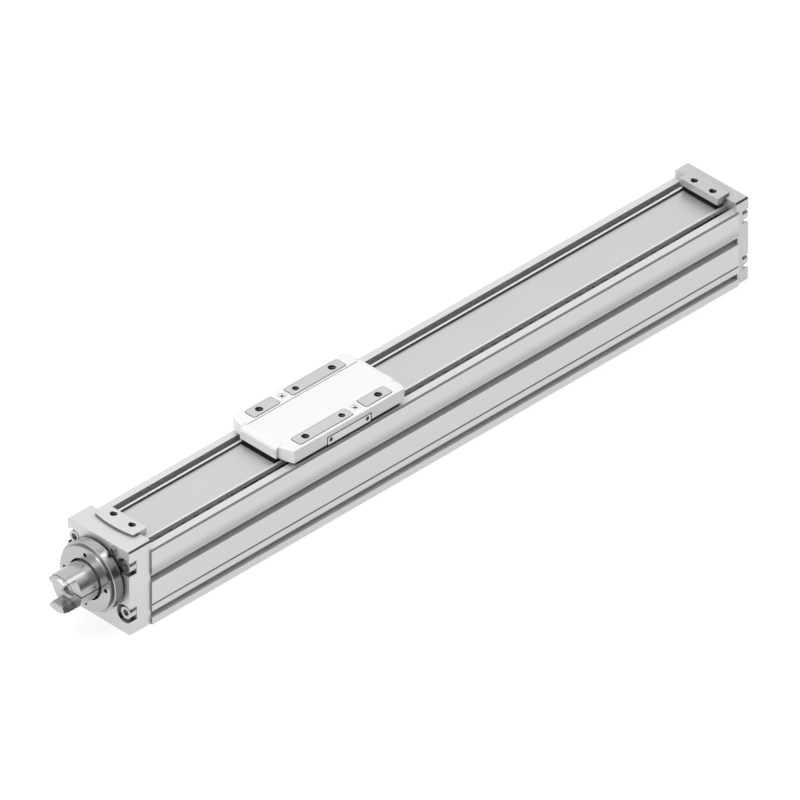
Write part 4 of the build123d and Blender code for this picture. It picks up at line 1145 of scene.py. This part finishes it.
@dataclass
class Guide:
    """Screws of the rail, the runners and the nut."""

    rail_screw: SocketScrew = SocketScrew(1.25, 8.0, 2.6, 2.6, 0.45, segments=24)
    rail_seat: float = 15.0
    rail_first: float = -245.75
    rail_pitch: float = 50.0
    rail_count: int = 11
    runner_screw: SocketScrew = SocketScrew(1.25, 8.0, 2.6, 3.0, 0.45, segments=24)
    runner_centres: tuple[float, float] = (-115.2, -63.2)
    runner_reach: tuple[float, float] = (9.0, 15.5)
    runner_seat: float = 27.0
    nut_screw: SocketScrew = SocketScrew(1.25, 14.6, 2.4, 2.4, 0.45, segments=24)
    nut_seat: float = -138.8
    nut_circle: float = 13.6
    nut_angles: tuple[float, ...] = (28.0, -28.0, 152.0, 208.0)

    def build(self, shop: Workshop) -> None:
        """Makes the three groups of screws.

        Args:
            shop: workshop that finishes the pieces.
        """
        down = rotation("Y", 90)
        stations = [self.rail_first + self.rail_pitch * step for step in range(self.rail_count)]
        bolts = [self.rail_screw.surface().turned(down).moved(x, 0.0, self.rail_seat) for x in stations]
        shop.piece("rail_bolts", bolts, FASTENER, "frame", ("rail_screws",))
        along, across = self.runner_reach
        bolts = [self.runner_screw.surface().turned(down).moved(centre + x, y, self.runner_seat)
                 for centre in self.runner_centres for x in (-along, along) for y in (-across, across)]
        shop.piece("runner_bolts", bolts, FASTENER, "carriage", ("runner_screws",))
        bolts = [self.nut_screw.surface().moved(self.nut_seat, y, z)
                 for y, z in on_circle(self.nut_circle, self.nut_angles, SCREW_HEIGHT)]
        shop.piece("nut_bolts", bolts, FASTENER, "carriage", ("nut_screws",))


@dataclass
class CarriageTrim:
    """Screws, threads and black pieces of the carriage, with painted shade in the threads, strips, frames and
    lips.
    """

    centre: float = -89.2
    row_half: float = 22.5
    hole_pitch: float = 35.0
    hole_radii: tuple[float, float, float] = (2.5, 2.1, 2.5)
    thread_pitches: tuple[float, float, float] = (0.8, 0.7, 0.8)
    thread_top: float = 74.7
    thread_length: float = 7.0
    cover_screw: CrossScrew = CrossScrew()
    cover_seat: float = 74.0
    cover_screw_reach: float = 13.0
    cover_screw_turn: float = 45.0
    plate_screw: SocketScrew = SocketScrew(1.0, 5.1, 1.6, 0.9, 0.4, segments=30)
    plate_screw_reach: float = 17.5
    plate_screw_level: float = 67.4
    plate_seat: float = 29.1
    strip_half: float = 49.0
    strip_across: tuple[float, float] = (28.0, 29.4)
    strip_level: tuple[float, float] = (63.0, 65.3)
    plate_half: float = 21.0
    plate_level: tuple[float, float] = (63.8, 70.4)
    plate_corner: float = 1.5
    gap_shade_reach: tuple[float, float] = (-0.28, 0.45)
    gap_shade_across: tuple[float, float] = (29.3, 30.04)
    gap_shade_points: int = 48
    lip_faces: tuple[float, float] = (-146.3, -32.1)
    lip_half: float = 16.2
    lip_level: tuple[float, float] = (60.5, 64.9)
    lip_reach: float = 1.25
    lip_edge: float = 0.5

    def build(self, shop: Workshop) -> None:
        """Makes the small pieces of the carriage.

        Args:
            shop: workshop that finishes the pieces.
        """
        reach, across = self.cover_screw_reach, self.row_half
        heads = [part.turned(rotation("Z", self.cover_screw_turn)).moved(self.centre + x, y, self.cover_seat)
                 for x, y in ((reach, -across), (-reach, across)) for part in self.cover_screw.surfaces()]
        shop.piece("cross_screws", heads, COVER_SCREW, "carriage", ("cover_screws",))
        heads = [self.plate_screw.surface().turned(rotation("Z", -90 * side))
                 .moved(self.centre + x, side * self.plate_seat, self.plate_screw_level)
                 for side in (-1, 1) for x in (-self.plate_screw_reach, self.plate_screw_reach)]
        shop.piece("plate_bolts", heads, BLACKENED, "carriage", ("side_plate_screws",))
        ridges = []
        for step, radius, pitch in zip((-1, 0, 1), self.hole_radii, self.thread_pitches):
            ridge = thread_ridge(radius, pitch, self.thread_length).turned(rotation("Y", 90))
            station = self.centre + step * self.hole_pitch
            ridges += [ridge.moved(station, side * self.row_half, self.thread_top) for side in (-1, 1)]
        shop.piece("table_threads", ridges, TABLE_THREAD_SHADE, "carriage", ())
        # Black strips under the carriage's long edges: painted shade between the carriage and the profile
        low, high = self.strip_across
        along = (self.centre - self.strip_half, self.centre + self.strip_half)
        strips = [bar(along, (-high, -low), self.strip_level), bar(along, (low, high), self.strip_level)]
        shop.piece("side_shade_strips", strips, RUBBER, "carriage", ())
        # Black frames round the side plates: painted shade in the gaps round them
        shop.piece("plate_gap_shades", [self._plate_gap_shade(-1), self._plate_gap_shade(1)], RUBBER, "carriage", ())
        # Wiper lips: partly the wipers' real lips, partly painted shade under the carriage's ends
        lips = [self._lip(face, side) for face, side in zip(self.lip_faces, (-1, 1))]
        shop.piece("wiper_lips", lips, RUBBER, "carriage", ())

    def _lip(self, face: float, side: int) -> Surface:
        """Black lip of one wiper, partly the real lip and partly painted shade under the carriage's end: a wedge
        whose foot reaches outwards and whose top ends at the wiper.

        Args:
            face: station of the wiper's outer face.
            side: -1 for the drive end, 1 for the idle end.

        Returns:
            The closed surface.
        """
        low, high = self.lip_level
        across = np.array([-self.lip_half, self.lip_half])
        stations = np.array([face, face + side * self.lip_reach])
        x, y = np.meshgrid(np.sort(stations), across, indexing="ij")
        rise = np.where(np.abs(x - face) < 1e-6, high, low + self.lip_edge)
        return slab(np.stack([x, y, rise], axis=-1), np.stack([x, y, np.full_like(x, low)], axis=-1))

    def _plate_gap_shade(self, side: int) -> Surface:
        """Thin black frame round one side plate, painted shade in the gap round it.

        Its four rings follow a rounded rectangle, whose points are those of its corner circles: the middle of
        the corner plus the corner radius along the angle. The outer rings have a radius that is larger by the
        width of the frame.

        Args:
            side: -1 for the near plate, 1 for the far one.

        Returns:
            The closed surface.
        """
        low, high = self.plate_level
        count = self.gap_shade_points
        angle = np.linspace(0, 2 * np.pi, count, endpoint=False) + np.pi / count
        right, upper = np.cos(angle) > 0, np.sin(angle) > 0
        middle_x = self.centre + np.where(right, 1, -1) * (self.plate_half - self.plate_corner)
        middle_z = np.where(upper, high - self.plate_corner, low + self.plate_corner)
        back, face = (across * side for across in self.gap_shade_across)
        inner, outer = (self.plate_corner + reach for reach in self.gap_shade_reach)
        rings = [(inner, face), (outer, face), (outer, back), (inner, back)]
        points = np.stack([np.stack([middle_x + reach * np.cos(angle), np.full(count, across),
                                     middle_z + reach * np.sin(angle)], axis=-1) for reach, across in rings])
        faces = ring_faces(len(rings), count, closed=True)
        if side > 0:
            faces = [corners[::-1] for corners in faces]
        return Surface(points.reshape(-1, 3), faces)


@dataclass(frozen=True)
class Screen:
    """Darker or brighter part of the surroundings.

    Its core and its edge are given in degrees from its middle, and its level is a factor on the even light.
    """

    towards: tuple[float, float, float]
    edge: float
    core: float
    level: float


@dataclass
class Studio:
    """Camera at the viewpoint of the picture, floor, backdrop light and lamp, in metres and degrees."""

    azimuth: float = -44.817
    elevation: float = 35.382
    distance: float = 18.144
    lens: float = 1187.28
    sensor: float = 36.0
    clip: tuple[float, float] = (0.5, 60.0)
    aim: tuple[float, float, float] = (0.0, 0.0, 0.035)
    pan: tuple[float, float] = (-0.007527, -0.00251)
    fill: float = 0.92
    screens: tuple[Screen, ...] = (
        Screen((1.0, -1.0, 1.0), 54.0, 18.0, 0.07),
        Screen((0.577, -0.450, 0.680), 28.0, 13.0, 22.0),
        Screen((0.0, -1.0, 0.2), 75.0, 25.0, 0.12),
    )
    floor_half: float = 9.0
    floor_level: float = -0.0004
    floor_shade: float = 0.28
    floor_roughness: float = 0.9
    floor_glow: float = 0.80
    lamp_place: tuple[float, float, float] = (-0.5, 0.2, 2.2)
    lamp_power: float = 26.0
    lamp_size: float = 2.2

    def camera(self) -> None:
        """Creates the camera, square on to the isometric view direction."""
        turn, rise = math.radians(self.azimuth), math.radians(self.elevation)
        back = Vector((math.sin(turn) * math.cos(rise), -math.cos(turn) * math.cos(rise), math.sin(rise)))
        right = Vector((math.cos(turn), math.sin(turn), 0.0))
        up = back.cross(right)
        data = bpy.data.cameras.new("camera")
        data.lens = self.lens
        data.sensor_width = self.sensor
        data.clip_start, data.clip_end = self.clip
        camera = bpy.data.objects.new("camera", data)
        camera.rotation_mode = "QUATERNION"
        camera.rotation_quaternion = (-back).to_track_quat("-Z", "Y")
        camera.location = Vector(self.aim) + right * self.pan[0] + up * self.pan[1] + back * self.distance
        bpy.context.scene.collection.objects.link(camera)
        bpy.context.scene.camera = camera

    def world(self) -> None:
        """Fills the studio with even light that changes towards each screen.

        Towards a screen the brightness is multiplied by 1 - (1 - level) s, where s goes smoothly from 0 to 1
        as the cosine between the direction and the screen goes from the screen's edge to its core.
        """
        world = bpy.data.worlds.new("studio")
        world.use_nodes = True
        nodes = Nodes(world.node_tree)
        direction = nodes.add("TexCoord", {}).outputs["Generated"]
        factors = []
        for screen in self.screens:
            towards = Vector(screen.towards).normalized()
            dot = nodes.add("VectorMath", {0: direction, 1: towards}, "DOT_PRODUCT")
            change = (math.cos(math.radians(screen.edge)), math.cos(math.radians(screen.core)))
            factors.append(nodes.span(dot.outputs["Value"], change, (1.0, screen.level), smooth=True))
        light = nodes.join("MULTIPLY", nodes.product(factors), self.fill)
        background = world.node_tree.nodes["Background"]
        background.inputs["Color"].default_value = PURE_WHITE
        world.node_tree.links.new(light, background.inputs["Strength"])
        bpy.context.scene.world = world
        bpy.context.scene.view_settings.view_transform = "Standard"

    def floor(self) -> None:
        """Makes the plain pale floor, just below the base face."""
        half, level = self.floor_half, self.floor_level
        mesh = bpy.data.meshes.new("floor")
        corners = [(-half, -half, level), (half, -half, level), (half, half, level), (-half, half, level)]
        mesh.from_pydata(corners, [], [(0, 1, 2, 3)])
        material = bpy.data.materials.new("floor")
        material.use_nodes = True
        shader = material.node_tree.nodes["Principled BSDF"]
        shader.inputs["Base Color"].default_value = (*[self.floor_shade] * 3, 1.0)
        shader.inputs["Roughness"].default_value = self.floor_roughness
        shader.inputs["Emission Color"].default_value = PURE_WHITE
        shader.inputs["Emission Strength"].default_value = self.floor_glow
        mesh.materials.append(material)
        floor = bpy.data.objects.new("floor", mesh)
        bpy.context.scene.collection.objects.link(floor)

    def lamp(self) -> None:
        """Adds the square soft lamp overhead, which points at the middle of the object."""
        data = bpy.data.lights.new("overhead", "AREA")
        data.shape = "RECTANGLE"
        data.size = data.size_y = self.lamp_size
        data.energy = self.lamp_power
        lamp = bpy.data.objects.new("overhead", data)
        lamp.location = self.lamp_place
        lamp.rotation_mode = "QUATERNION"
        lamp.rotation_quaternion = (-Vector(self.lamp_place)).to_track_quat("-Z", "Y")
        bpy.context.scene.collection.objects.link(lamp)

    def build(self) -> None:
        """Sets up everything that isn't part of the object."""
        self.camera()
        self.world()
        self.floor()
        self.lamp()


def main() -> None:
    """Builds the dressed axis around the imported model."""
    logging.basicConfig(level=logging.INFO, format="%(message)s")
    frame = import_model()
    Studio().build()
    shop = Workshop(frame, Paintbox())
    for assembly in (EndCaps(), BearingSeat(), DriveScrew(), Guide(), CarriageTrim()):
        assembly.build(shop)
    for node in frame["nodes"]:
        shop.dress_node(node, NODE_EDGES.get(node, USUAL_EDGE), NODE_FINISHES.get(node))


if __name__ == "__main__":
    main()
